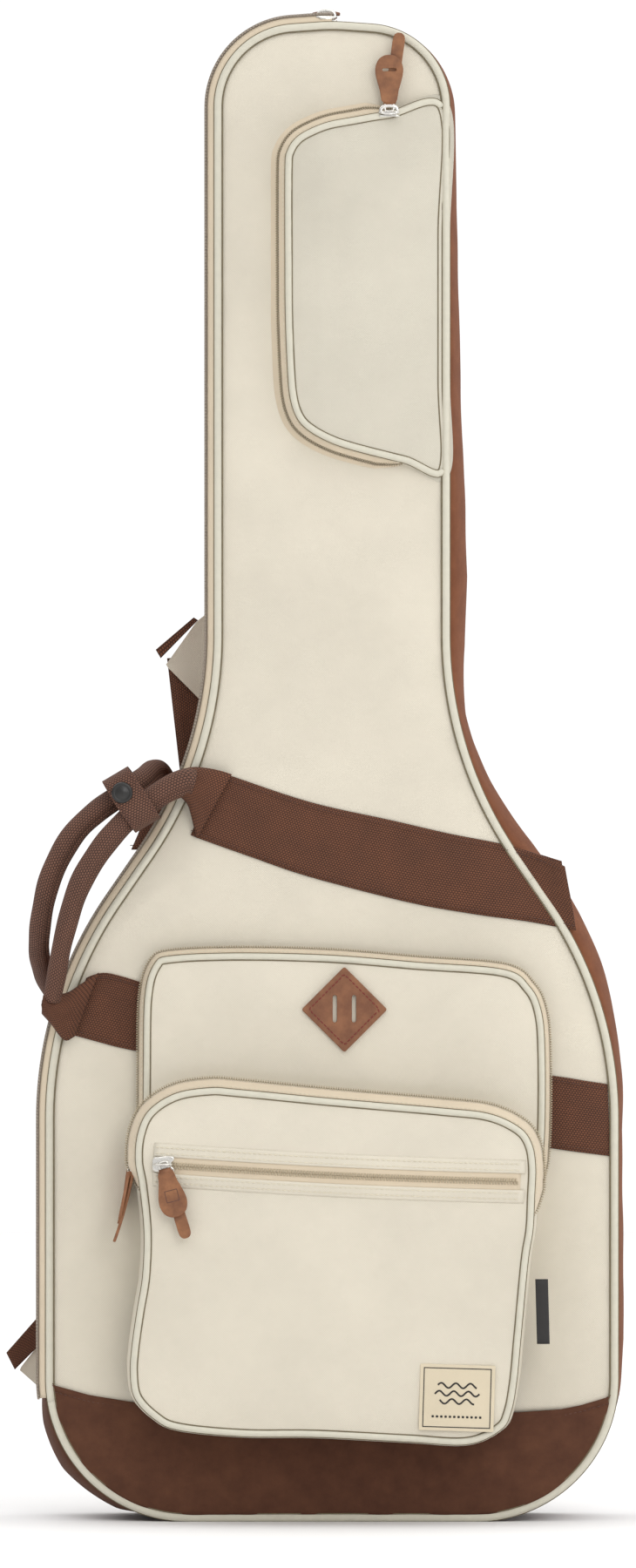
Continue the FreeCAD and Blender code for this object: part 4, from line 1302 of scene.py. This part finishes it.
def stitched_outline(name, outline, y, thread, pitch, length, radius=0.3 * MM):
    closed = np.vstack([outline, outline[:1]])
    path = with_y(closed, y)
    return stitches(name, path, (0, -1, 0), thread, pitch, length, radius)


TAB_MIDDLE = np.array([8.6, 359.3]) * MM
tab_y = float(rear_face(TAB_MIDDLE[:1], TAB_MIDDLE[1:])[0]) - 2.9 * MM
TAB_HALF, TAB_SEAM, TAB_SLOT_OUT = 21.2 * MM, 17.4 * MM, 6.7
TAB_TURN = math.radians(45)
tab_outline = rounded_box(TAB_MIDDLE, TAB_HALF, TAB_HALF, 1.6 * MM, TAB_TURN)
tab_holes = [rounded_box(TAB_MIDDLE + np.array([dx, 0.5]) * MM, 1.45 * MM, 9.5 * MM, 1.4 * MM)[::-1]
             for dx in (-TAB_SLOT_OUT, TAB_SLOT_OUT)]
tab_plate = flat_shape("lash_tab_leather", tab_outline, tab_y, 2.4 * MM, TAB_LEATHER, tab_holes, 0.5 * MM)
tab_seam = rounded_box(TAB_MIDDLE, TAB_SEAM, TAB_SEAM, 1 * MM, TAB_TURN)
tab_thread = stitched_outline("tab_thread", tab_seam, tab_y - 0.05 * MM, RED_THREAD, 3.3 * MM, 2.5 * MM,
                              0.34 * MM)
tab = joined("lash_tab_stitched", [tab_plate, tab_thread])
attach(tab, "lid")
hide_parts("lash_tab")

LABEL_MIDDLE = np.array([86.7, 90.4]) * MM
LABEL_TURN = math.radians(-1.7)
LABEL_X, LABEL_Z = 26 * MM, 23 * MM
LABEL_WAVES = ((8.5, 13.5), (3.0, 15.5), (-2.5, 12.0))
BAR_COUNT, BAR_STEP, BAR_ROW = 12, 3.0, -13.2
label_y = float(front_face(LABEL_MIDDLE[:1], LABEL_MIDDLE[1:])[0]) - 1.1 * MM
label_parts = [flat_shape("label_plate", rounded_box(LABEL_MIDDLE, LABEL_X, LABEL_Z, 0.6 * MM, LABEL_TURN),
                          label_y, 0.9 * MM, LABEL, round_over=0.2 * MM)]
frame_out = rounded_box(LABEL_MIDDLE, 23.6 * MM, 20.8 * MM, 0.3 * MM, LABEL_TURN)
frame_in = rounded_box(LABEL_MIDDLE, 22.9 * MM, 20.1 * MM, 0.2 * MM, LABEL_TURN)[::-1]
INK_Y, INK_THICKNESS, INK_EDGE = label_y - 0.12 * MM, 0.3 * MM, 0.05 * MM
label_parts.append(flat_shape("label_frame", frame_out, INK_Y, INK_THICKNESS, INK, [frame_in], INK_EDGE))


def label_spot(x, z):
    c, s = math.cos(LABEL_TURN), math.sin(LABEL_TURN)
    return LABEL_MIDDLE + np.array([x * c - z * s, x * s + z * c]) * MM


def label_bar(x, z, half_x, half_z):
    corner = min(half_x, half_z) * 0.6 * MM
    bar = rounded_box(label_spot(x, z), half_x * MM, half_z * MM, corner, LABEL_TURN)
    return flat_shape("label_bar", bar, INK_Y, INK_THICKNESS, INK, round_over=INK_EDGE)


# A plain woven motif: three stacked waves over a row of short bars.
for height, half in LABEL_WAVES:
    wave = np.array([label_spot(x, height + 1.7 * math.sin(x * 0.62 + height))
                     for x in np.linspace(-half, half, 60)])
    path = with_y(wave, label_y - 0.05 * MM)
    label_parts.append(tube("label_wave", path, 0.62 * MM, INK, 8, flat=0.4, up=(0, 1, 0)))
for k in range(BAR_COUNT):
    label_parts.append(label_bar(-16.5 + BAR_STEP * k, BAR_ROW, 0.85, 0.8))
label = joined("woven_label_patch", label_parts)
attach(label, "lid")
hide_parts("woven_label")

tag_path = [(139, -98.4), (143, -98.8), (146.5, -98.2), (147.5, -97.2), (146.5, -96.4), (143, -96.8),
            (139, -96.6)]
TAG_LOW, TAG_HEIGHT = 127.5, 45
tag_loop = smooth_path(in_mm(tag_path), 0.8 * MM)
tag_rows = []
for t in np.linspace(0, 1, 12):
    z = (TAG_LOW + TAG_HEIGHT * t) * MM
    tag_rows.append(np.stack([tag_loop[:, 0] + (3.4 - 1.2 * t) * MM, tag_loop[:, 1],
                              np.full(len(tag_loop), z)], axis=1))
tag = cloth("side_tag_loop", np.array(tag_rows), TAG, 0.5 * MM, towards=(0, -1, 0))
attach(tag, "lid")
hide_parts("side_tag")


# ------------------------------------------------------------------ sliders and leather pulls
def moved(obj, matrix):
    obj.data.transform(matrix)
    return obj


def local_frame(spot, outward_way, hang_way):
    """A 4 x 4 matrix: X along the pin, -Y out of the cloth, -Z the way the pull hangs."""
    y_axis = Vector(outward_way) * -1
    z_axis = Vector(hang_way) * -1
    x_axis = y_axis.cross(z_axis)
    turn = Matrix((x_axis, y_axis, z_axis)).transposed().to_4x4()
    return Matrix.Translation(Vector(spot) * MM) @ turn


def turn_matrix(axis, degrees):
    return Matrix.Rotation(math.radians(degrees), 4, axis)


def mirrored(points):
    points = np.array(points, float)
    other = points[::-1].copy()
    other[:, 0] *= -1
    return np.concatenate([points, other])


def slider_body(name, along_x=True):
    """A nickel coil slider: two waisted plates, a neck between them, and a bridge for the pull."""
    shape = mirrored([(2.6, -7.6), (4.4, -6.6), (4.6, -3.5), (5.0, 0), (5.6, 3.5), (5.6, 5.6), (4.6, 7.2),
                      (2.8, 6.9), (1.2, 5.4)]) * MM
    shape = smooth_path(shape, 0.5 * MM, closed=True)
    parts = [flat_shape("plate", shape, 2.1 * MM, 1.5 * MM, NICKEL, round_over=0.45 * MM),
             flat_shape("plate", shape, 4.9 * MM, 1.1 * MM, NICKEL, round_over=0.35 * MM)]
    parts.append(tube("neck", in_mm([(0, 3.0, 3.4), (0, 3.6, 4.4), (0, 5.4, 4.4)]), 1.5 * MM, NICKEL, 12))
    for side in (-1, 1):
        lip = in_mm([(side * 4.4, 3.3, -6.4), (side * 4.6, 4.0, -3.0), (side * 5.0, 4.1, 0),
                     (side * 5.4, 4.0, 4.5)])
        parts.append(tube("flange", lip, 0.75 * MM, NICKEL, 8))
    bridge = in_mm([(0, 2.6, 5.4), (0, 0.8, 5.6), (0, -1.2, 4.2), (0, -1.9, 1.5), (0, -1.9, -1.5),
                    (0, -1.2, -4.2), (0, 0.8, -5.8), (0, 2.6, -5.6)])
    parts.append(tube("bridge", smooth_path(bridge, 0.6 * MM), 1.35 * MM, NICKEL, 12, flat=0.55,
                      up=(1, 0, 0)))
    body = joined(name, parts)
    if along_x:
        moved(body, turn_matrix("Y", 90))
    return body


PEAR = smooth_path(mirrored([(2.5, -4.2), (5.0, -5.0), (5.9, -8), (6.5, -12), (8.2, -18), (9.6, -24),
                             (9.6, -29), (7.6, -34), (4.0, -36.8), (1.2, -37.4)]) * MM, 0.7 * MM, closed=True)
TAIL = smooth_path(mirrored([(1.5, -4.5), (4.2, -5.2), (4.3, -20), (4.3, -40), (4.3, -48), (3.6, -51.5),
                             (1.6, -53.3)]) * MM, 0.8 * MM, closed=True)


def curled(obj, amount):
    """Bends a flat pull a little out of its plane towards its end."""
    for v in obj.data.vertices:
        z = -v.co.z / MM
        v.co.y -= amount * MM * (z / 50) ** 2
    return obj


def diced(obj, pieces):
    """Cuts a flat piece across its length so that it can bend."""
    bm = bmesh.new()
    bm.from_mesh(obj.data)
    low = min(v.co.z for v in bm.verts)
    high = max(v.co.z for v in bm.verts)
    for k in range(1, pieces):
        z = low + (high - low) * k / pieces
        bmesh.ops.bisect_plane(bm, geom=bm.verts[:] + bm.edges[:] + bm.faces[:], plane_co=(0, 0, z),
                               plane_no=(0, 0, 1))
    bm.to_mesh(obj.data)
    bm.free()
    return obj


def leather_pull(name, tail_in_front=False, pear_curl=1.5, tail_curl=3.0, tail_lean=0.0):
    """A link and a folded leather pull: a pear-shaped paddle and the tail that passes through it."""
    link = smooth_path(in_mm([(2.1, 0, 1.6), (-2.1, 0, 1.6), (-3.0, 0, 0), (-2.9, 0, -4.5), (-2.2, 0, -6.6),
                              (2.2, 0, -6.6), (2.9, 0, -4.5), (3.0, 0, 0)]), 0.6 * MM, closed=True)
    ring = tube("link", link, 0.75 * MM, NICKEL, 10, closed=True)
    front, back = (-0.2, -2.6) if tail_in_front else (-2.2, 0.6)
    slot_hole = [rounded_box(np.array([0, -27.0]) * MM, 4.9 * MM, 1.0 * MM, 0.9 * MM)[::-1]]
    holes = slot_hole if tail_in_front else ()
    pear = flat_shape("pear", PEAR, front * MM, 2.2 * MM, LEATHER, holes, 0.55 * MM)
    curled(diced(pear, 9), pear_curl)
    tail = flat_shape("tail", TAIL, back * MM, 2.1 * MM, LEATHER, round_over=0.5 * MM)
    curled(diced(tail, 12), tail_curl)
    if tail_lean:
        moved(tail, turn_matrix("Y", tail_lean))
    fold = tube("fold", in_mm([(-4.1, -0.4, -5.0), (4.1, -0.4, -5.0)]), 2.2 * MM, LEATHER, 14)
    parts = [pear, tail, fold]
    if not tail_in_front:
        mark = rounded_box(np.array([0.3, -22.5]) * MM, 4.6 * MM, 4.2 * MM, 0.5 * MM)
        inner = rounded_box(np.array([0.3, -22.5]) * MM, 4.1 * MM, 3.7 * MM, 0.4 * MM)[::-1]
        pressed = flat_shape("pressed", mark, -2.28 * MM, 0.3 * MM, BROWN_THREAD, [inner], 0.05 * MM)
        parts.append(curled(diced(pressed, 4), pear_curl))
    leather = joined(f"{name}_leather", parts)
    return ring, leather


def zipper_pull(name, spot, outward_way, hang_way, along_x, lean=0.0, lift=0.0, **pull):
    """Builds a slider and its pull at a CAD pin; lean and lift turn the pull about Y and X."""
    place = local_frame(spot, outward_way, hang_way)
    body = moved(slider_body(f"{name}_slider_metal", along_x), place)
    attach(body, f"{name}_slider")
    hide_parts(f"{name}_slider")
    ring, leather = leather_pull(name, **pull)
    swing = place @ turn_matrix("Y", lean) @ turn_matrix("X", lift)
    for obj, slot_name in ((ring, "nickel"), (leather, "pull_leather")):
        moved(obj, swing)
        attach(obj, f"{name}_pull")
    ring.name = f"{name}_pull_link"
    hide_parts(f"{name}_pull")


UP, DOWN, OUT, IN, LEFT = (0, 0, 1), (0, 0, -1), (0, -1, 0), (0, 1, 0), (-1, 0, 0)
SLASH_PIN = (-117, -109.3, 252.6)
zipper_pull("slash", SLASH_PIN, OUT, DOWN, True, lean=-14.5, lift=-2.0, tail_lean=-3.0)
zipper_pull("main", (-4, -36, 1057.1), UP, IN, True)
zipper_pull("neck", (40, -55, 989.1), UP, OUT, True, lift=-90.0, tail_in_front=True, tail_lean=-8.0,
            pear_curl=-1.0, tail_curl=-1.5)
zipper_pull("rear_pocket", (-139.7, -56, 262), LEFT, DOWN, False, lift=-6.0, tail_curl=5.0)
zipper_pull("front_pocket", (-139.6, -85, 250), LEFT, DOWN, False, lift=-10.0, tail_curl=4.0)


# ------------------------------------------------------------------ shoulder straps on the back
BACK_Y = HALF_DEPTH + 2.3 * MM
PAD_MIDDLE, PAD_X, PAD_Z, PAD_CORNER = 370, 33 * MM, 150 * MM, 14 * MM
PAD_THICKNESS, PAD_PUFF = 8 * MM, 6 * MM
SPINE_HALF, SPINE_LOW, SPINE_HIGH = 19, 228, 512
LOCK_MIDDLE, LOCK_X, LOCK_Z, LOCK_THICKNESS = 204, 19 * MM, 15 * MM, 5 * MM
STRAP_BAND = 51
RIGHT_TUCK = -34  # the right strap stands this many millimetres further in than the left


def slab_from(name, outline, y, thickness, material, puff=0.0, steps=14, fade=7 * MM):
    """A plate on the back, facing +Y, from y outwards; puff swells its middle like padding."""
    outline = resample(np.array(outline), 3 * MM, closed=True)
    ahead = np.roll(outline, -1, axis=0)
    clockwise = ((ahead[:, 0] - outline[:, 0]) * (ahead[:, 1] + outline[:, 1])).sum() > 0
    if clockwise:
        outline = outline[::-1]
    centre = outline.mean(axis=0)

    def height(x, z):
        d = edge_distance(x, z, outline)
        return y + thickness + puff * (1 - np.exp(-d / fade))

    return disc(name, outline, height, material, centre, -thickness, rings=steps)


def back_shape(points, side):
    return np.array([(side * x, z) for x, z in points], float) * MM


def band_piece(name, points, side, y, material, thickness=1.8 * MM):
    """A four-sided piece of webbing on the back, its corners (x, z) in mm going round."""
    a, b, c, d = back_shape(points, side)
    rows = []
    for t in np.linspace(0, 1, 10):
        start, end = a + (d - a) * t, b + (c - b) * t
        line = np.array([start + (end - start) * s for s in np.linspace(0, 1, 16)])
        rows.append(with_y(line, np.full(16, y + thickness)))
    grid = np.array(rows)
    u = np.linspace(0, np.linalg.norm(d - a), 10)
    v = np.linspace(0, np.linalg.norm(b - a), 16)
    uv = np.stack(np.meshgrid(u, v, indexing="ij"), axis=2)
    return cloth(name, grid, material, thickness, uv=uv, towards=(0, 1, 0))


strap_groups = {name: [] for name in ("strap_wings_upper", "strap_webbing_upper", "strap_webbing_lower",
                                      "strap_wings_lower")}
for side_name, side in (("left", -1), ("right", 1)):
    tuck = 0 if side_name == "left" else RIGHT_TUCK
    inner, outer = 46 + tuck, 112 + tuck
    middle = (inner + outer) / 2
    reach = 226 + tuck
    pad_outline = rounded_box(in_mm([side * middle, PAD_MIDDLE]), PAD_X, PAD_Z, PAD_CORNER, steps=10)
    pad = slab_from(f"shoulder_pad_{side_name}_cover", pad_outline, BACK_Y, PAD_THICKNESS, CANVAS,
                    PAD_PUFF, 18, 9 * MM)
    bead = resample(pad_outline, 3 * MM, closed=True)
    bead = tube("bead", with_y(bead, BACK_Y + PAD_THICKNESS), 1.9 * MM, PIPING, 10, closed=True)
    low, high = middle - SPINE_HALF, middle + SPINE_HALF
    spine = band_piece("spine", [(low, SPINE_LOW), (low, SPINE_HIGH), (high, SPINE_HIGH), (high, SPINE_LOW)],
                       side, BACK_Y + 13.4 * MM, WEBBING, 1.4 * MM)
    whole = joined(f"shoulder_pad_{side_name}_padded", [pad, bead, spine])
    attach(whole, "shell")
    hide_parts(f"shoulder_pad_{side_name}")

    lock_middle = in_mm([side * middle, LOCK_MIDDLE])
    frame_hole = [rounded_box(lock_middle + in_mm([0, dz]), 15 * MM, 3.4 * MM, 1 * MM)[::-1]
                  for dz in (-9, 0.5, 10)]
    lock = flat_shape(f"ladder_lock_{side_name}_frame", rounded_box(lock_middle, LOCK_X, LOCK_Z, 3 * MM),
                      BACK_Y + 4 * MM, LOCK_THICKNESS, PLASTIC, frame_hole, 1.2 * MM)
    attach(lock, f"ladder_lock_{side_name}")
    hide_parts(f"ladder_lock_{side_name}")

    upper_wing = back_shape([(76 + tuck, 648), (96 + tuck, 632), (118 + tuck, 601), (87 + tuck, 570),
                             (40, 588), (40, 652)], side)
    strap_groups["strap_wings_upper"].append(
        slab_from("wing", upper_wing, BACK_Y, 2.6 * MM, CANVAS, 1.2 * MM, 10))
    band_out = inner + 12 + STRAP_BAND
    drop = [(inner + 12, 612), (inner + 10, 518), (band_out - 2, 518), (band_out + 8, 606)]
    turned = [(95 + tuck, 633), (121.5 + tuck, 606), (125 + tuck, 612), (98 + tuck, 635)]
    tail = [(inner + 20, 186), (reach - 20, 144), (reach - 20, 106), (inner + 20, 148)]
    loop = [(reach - 24, 146), (reach + 5, 113), (reach - 1, 101), (reach - 24, 124)]
    strap_groups["strap_webbing_upper"] += [
        band_piece("drop", drop, side, BACK_Y + 4.0 * MM, WEBBING),
        band_piece("turned", turned, side, BACK_Y + 0.6 * MM, WEBBING, 5.4 * MM)]
    strap_groups["strap_webbing_lower"] += [
        band_piece("tail", tail, side, BACK_Y, WEBBING),
        band_piece("loop", loop, side, BACK_Y + 0.4 * MM, WEBBING, 3.4 * MM)]
    lower_wing = back_shape([(reach - 22, 124), (reach - 4, 101), (reach - 22, 85), (130, 92), (130, 142)],
                            side)
    strap_groups["strap_wings_lower"].append(
        slab_from("wing", lower_wing, BACK_Y + 2.4 * MM, 2.4 * MM, CANVAS, 0.8 * MM, 10))
for node, parts in strap_groups.items():
    whole = joined(f"{node}_cloth", parts)
    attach(whole, "shell")
    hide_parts(node)


# ------------------------------------------------------------------ inside
def inner_sheet(name, low, high, y, side):
    """Quilted lining across the inside, between two heights."""
    x, z = panel_grid(low, high, 15.6 * MM, columns=60, step=8 * MM)
    seams = np.cos(x * math.pi / (60 * MM)) ** 2 * 1.2 * MM
    return cloth(name, surface(x, y + side * seams, z), LINING, 4 * MM,
                 uv=np.stack([x, z], axis=2), towards=(0, side, 0))


back_lining = inner_sheet("back_lining_plush", 0.02, 1.034, HALF_DEPTH - 16 * MM, -1)
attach(back_lining, "shell")
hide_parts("back_lining")
front_lining = inner_sheet("front_lining_plush", 0.086, 1.034, FRONT_Y + 15 * MM, 1)
across_fold(front_lining)
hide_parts("front_lining")


def ring_lining(name, stretch, body):
    rows = [(-15.6 * MM, HALF_DEPTH - 14 * MM), (-15.9 * MM, 20 * MM), (-16.2 * MM, 0.0),
            (-15.9 * MM, -14 * MM), (-15.6 * MM, FRONT_Y + 14.5 * MM)]
    made = side_strip(name, stretch, rows, LINING, 5 * MM)
    if body == "fold":
        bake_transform(made)
    else:
        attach(made, body)
    return made


ring_lining("side_lining_right", low_right, "shell")
ring_lining("side_lining_neck", high_right, "fold")
ring_lining("side_lining_left", left_high, "shell")
ring_lining("side_lining_base", base_part, "shell")


def dressed(node, material):
    """A rounded stand-in for a plain CAD block: its box with eased edges."""
    low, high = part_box(node)
    middle = (np.array(low) + np.array(high)) / 2
    half = (np.array(high) - np.array(low)) / 2
    bpy.ops.mesh.primitive_cube_add(size=2, location=middle)
    obj = bpy.context.object
    obj.name = f"{node}_cover"
    obj.scale = half
    bpy.ops.object.transform_apply(location=True, scale=True)
    ease = obj.modifiers.new("ease", "BEVEL")
    ease.width = min(half) * 0.6
    ease.segments = 5
    bpy.ops.object.modifier_apply(modifier="ease")
    for face in obj.data.polygons:
        face.use_smooth = True
    obj.data.materials.append(material)
    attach(obj, "shell")
    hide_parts(node)
    return obj


bumper = dressed("base_bumper", RUBBER)
strap = dressed("neck_strap", WEBBING)

rest_low, rest_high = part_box("neck_rest")
NOTCH = 30 * MM
REST_EASE = 4 * MM
rest_rows = []
for x in np.linspace(rest_low.x, rest_high.x, 41):
    front_edge = rest_low.y + math.sqrt(max(NOTCH ** 2 - x ** 2, 0))
    section = [(rest_high.y, rest_low.z), (front_edge + REST_EASE, rest_low.z),
               (front_edge, rest_low.z + REST_EASE), (front_edge, (rest_low.z + rest_high.z) / 2),
               (front_edge, rest_high.z - REST_EASE), (front_edge + REST_EASE, rest_high.z),
               (rest_high.y, rest_high.z)]
    rest_rows.append([(x, y, z) for y, z in section])
neck_rest = outward(new_mesh("neck_rest_cover", [spot for row in rest_rows for spot in row],
                             ring_faces(len(rest_rows), len(rest_rows[0])), None, LINING))
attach(neck_rest, "shell")
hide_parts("neck_rest")


# ------------------------------------------------------------------ studio
def stage_plane(name, size, place, turn, colour):
    bpy.ops.mesh.primitive_plane_add(size=size, location=place, rotation=turn)
    obj = bpy.context.object
    obj.name = name
    obj.data.materials.append(colour)
    return obj


WHITE = plain_paint("studio_white", (0.93, 0.925, 0.925), 0.95, 0.0, bump=0.0)
FLOOR_SIZE = 9
SEEN_STRENGTH, LIGHT_STRENGTH = 1.05, 0.5
stage_plane("floor", FLOOR_SIZE, (0, 0, 0), (0, 0, 0), WHITE)

bpy.context.scene.view_settings.view_transform = "Standard"
world = bpy.data.worlds.new("studio")
bpy.context.scene.world = world
world.use_nodes = True
tree = world.node_tree
seen, lighting = tree.nodes["Background"], tree.nodes.new("ShaderNodeBackground")
seen.inputs["Color"].default_value = (1.0, 1.0, 1.0, 1)
seen.inputs["Strength"].default_value = SEEN_STRENGTH
lighting.inputs["Color"].default_value = (1.0, 1.0, 1.0, 1)
lighting.inputs["Strength"].default_value = LIGHT_STRENGTH
mix, ray = tree.nodes.new("ShaderNodeMixShader"), tree.nodes.new("ShaderNodeLightPath")
tree.links.new(ray.outputs["Is Camera Ray"], mix.inputs["Fac"])
tree.links.new(lighting.outputs["Background"], mix.inputs[1])
tree.links.new(seen.outputs["Background"], mix.inputs[2])
tree.links.new(mix.outputs["Shader"], tree.nodes["World Output"].inputs["Surface"])


def softbox(name, place, target, width, height, power):
    """A rectangular light aimed at a target; lengths in metres, power in watts."""
    light = bpy.data.lights.new(name, "AREA")
    light.shape = "RECTANGLE"
    light.size, light.size_y = width, height
    light.energy = power
    obj = bpy.data.objects.new(name, light)
    obj.location = place
    obj.rotation_euler = (Vector(target) - Vector(place)).to_track_quat("-Z", "Y").to_euler()
    bpy.context.scene.collection.objects.link(obj)


softbox("overhead", (0, 0, 5), (0, 0, 0), 14, 14, 620)
softbox("key", (0.9, -3.0, 1.6), (0, 0, 0.5), 1.3, 1.3, 22)
softbox("side", (2.6, -0.6, 0.9), (0.1, 0, 0.5), 1.2, 1.6, 9)

camera_data = bpy.data.cameras.new("front_view")
camera = bpy.data.objects.new("front_view", camera_data)
bpy.context.scene.collection.objects.link(camera)
CAMERA_AWAY, VIEW_HEIGHT = 7.0, 1.098
CAMERA_X, CAMERA_Z = -9.8 * MM, 516.7 * MM
camera.location = (CAMERA_X, FRONT_Y - CAMERA_AWAY, CAMERA_Z)
camera.rotation_euler = (math.radians(90), 0, 0)
camera_data.sensor_fit = "VERTICAL"
camera_data.sensor_height = 36.0
camera_data.lens = camera_data.sensor_height * CAMERA_AWAY / VIEW_HEIGHT
camera_data.clip_end = 50
bpy.context.scene.camera = camera
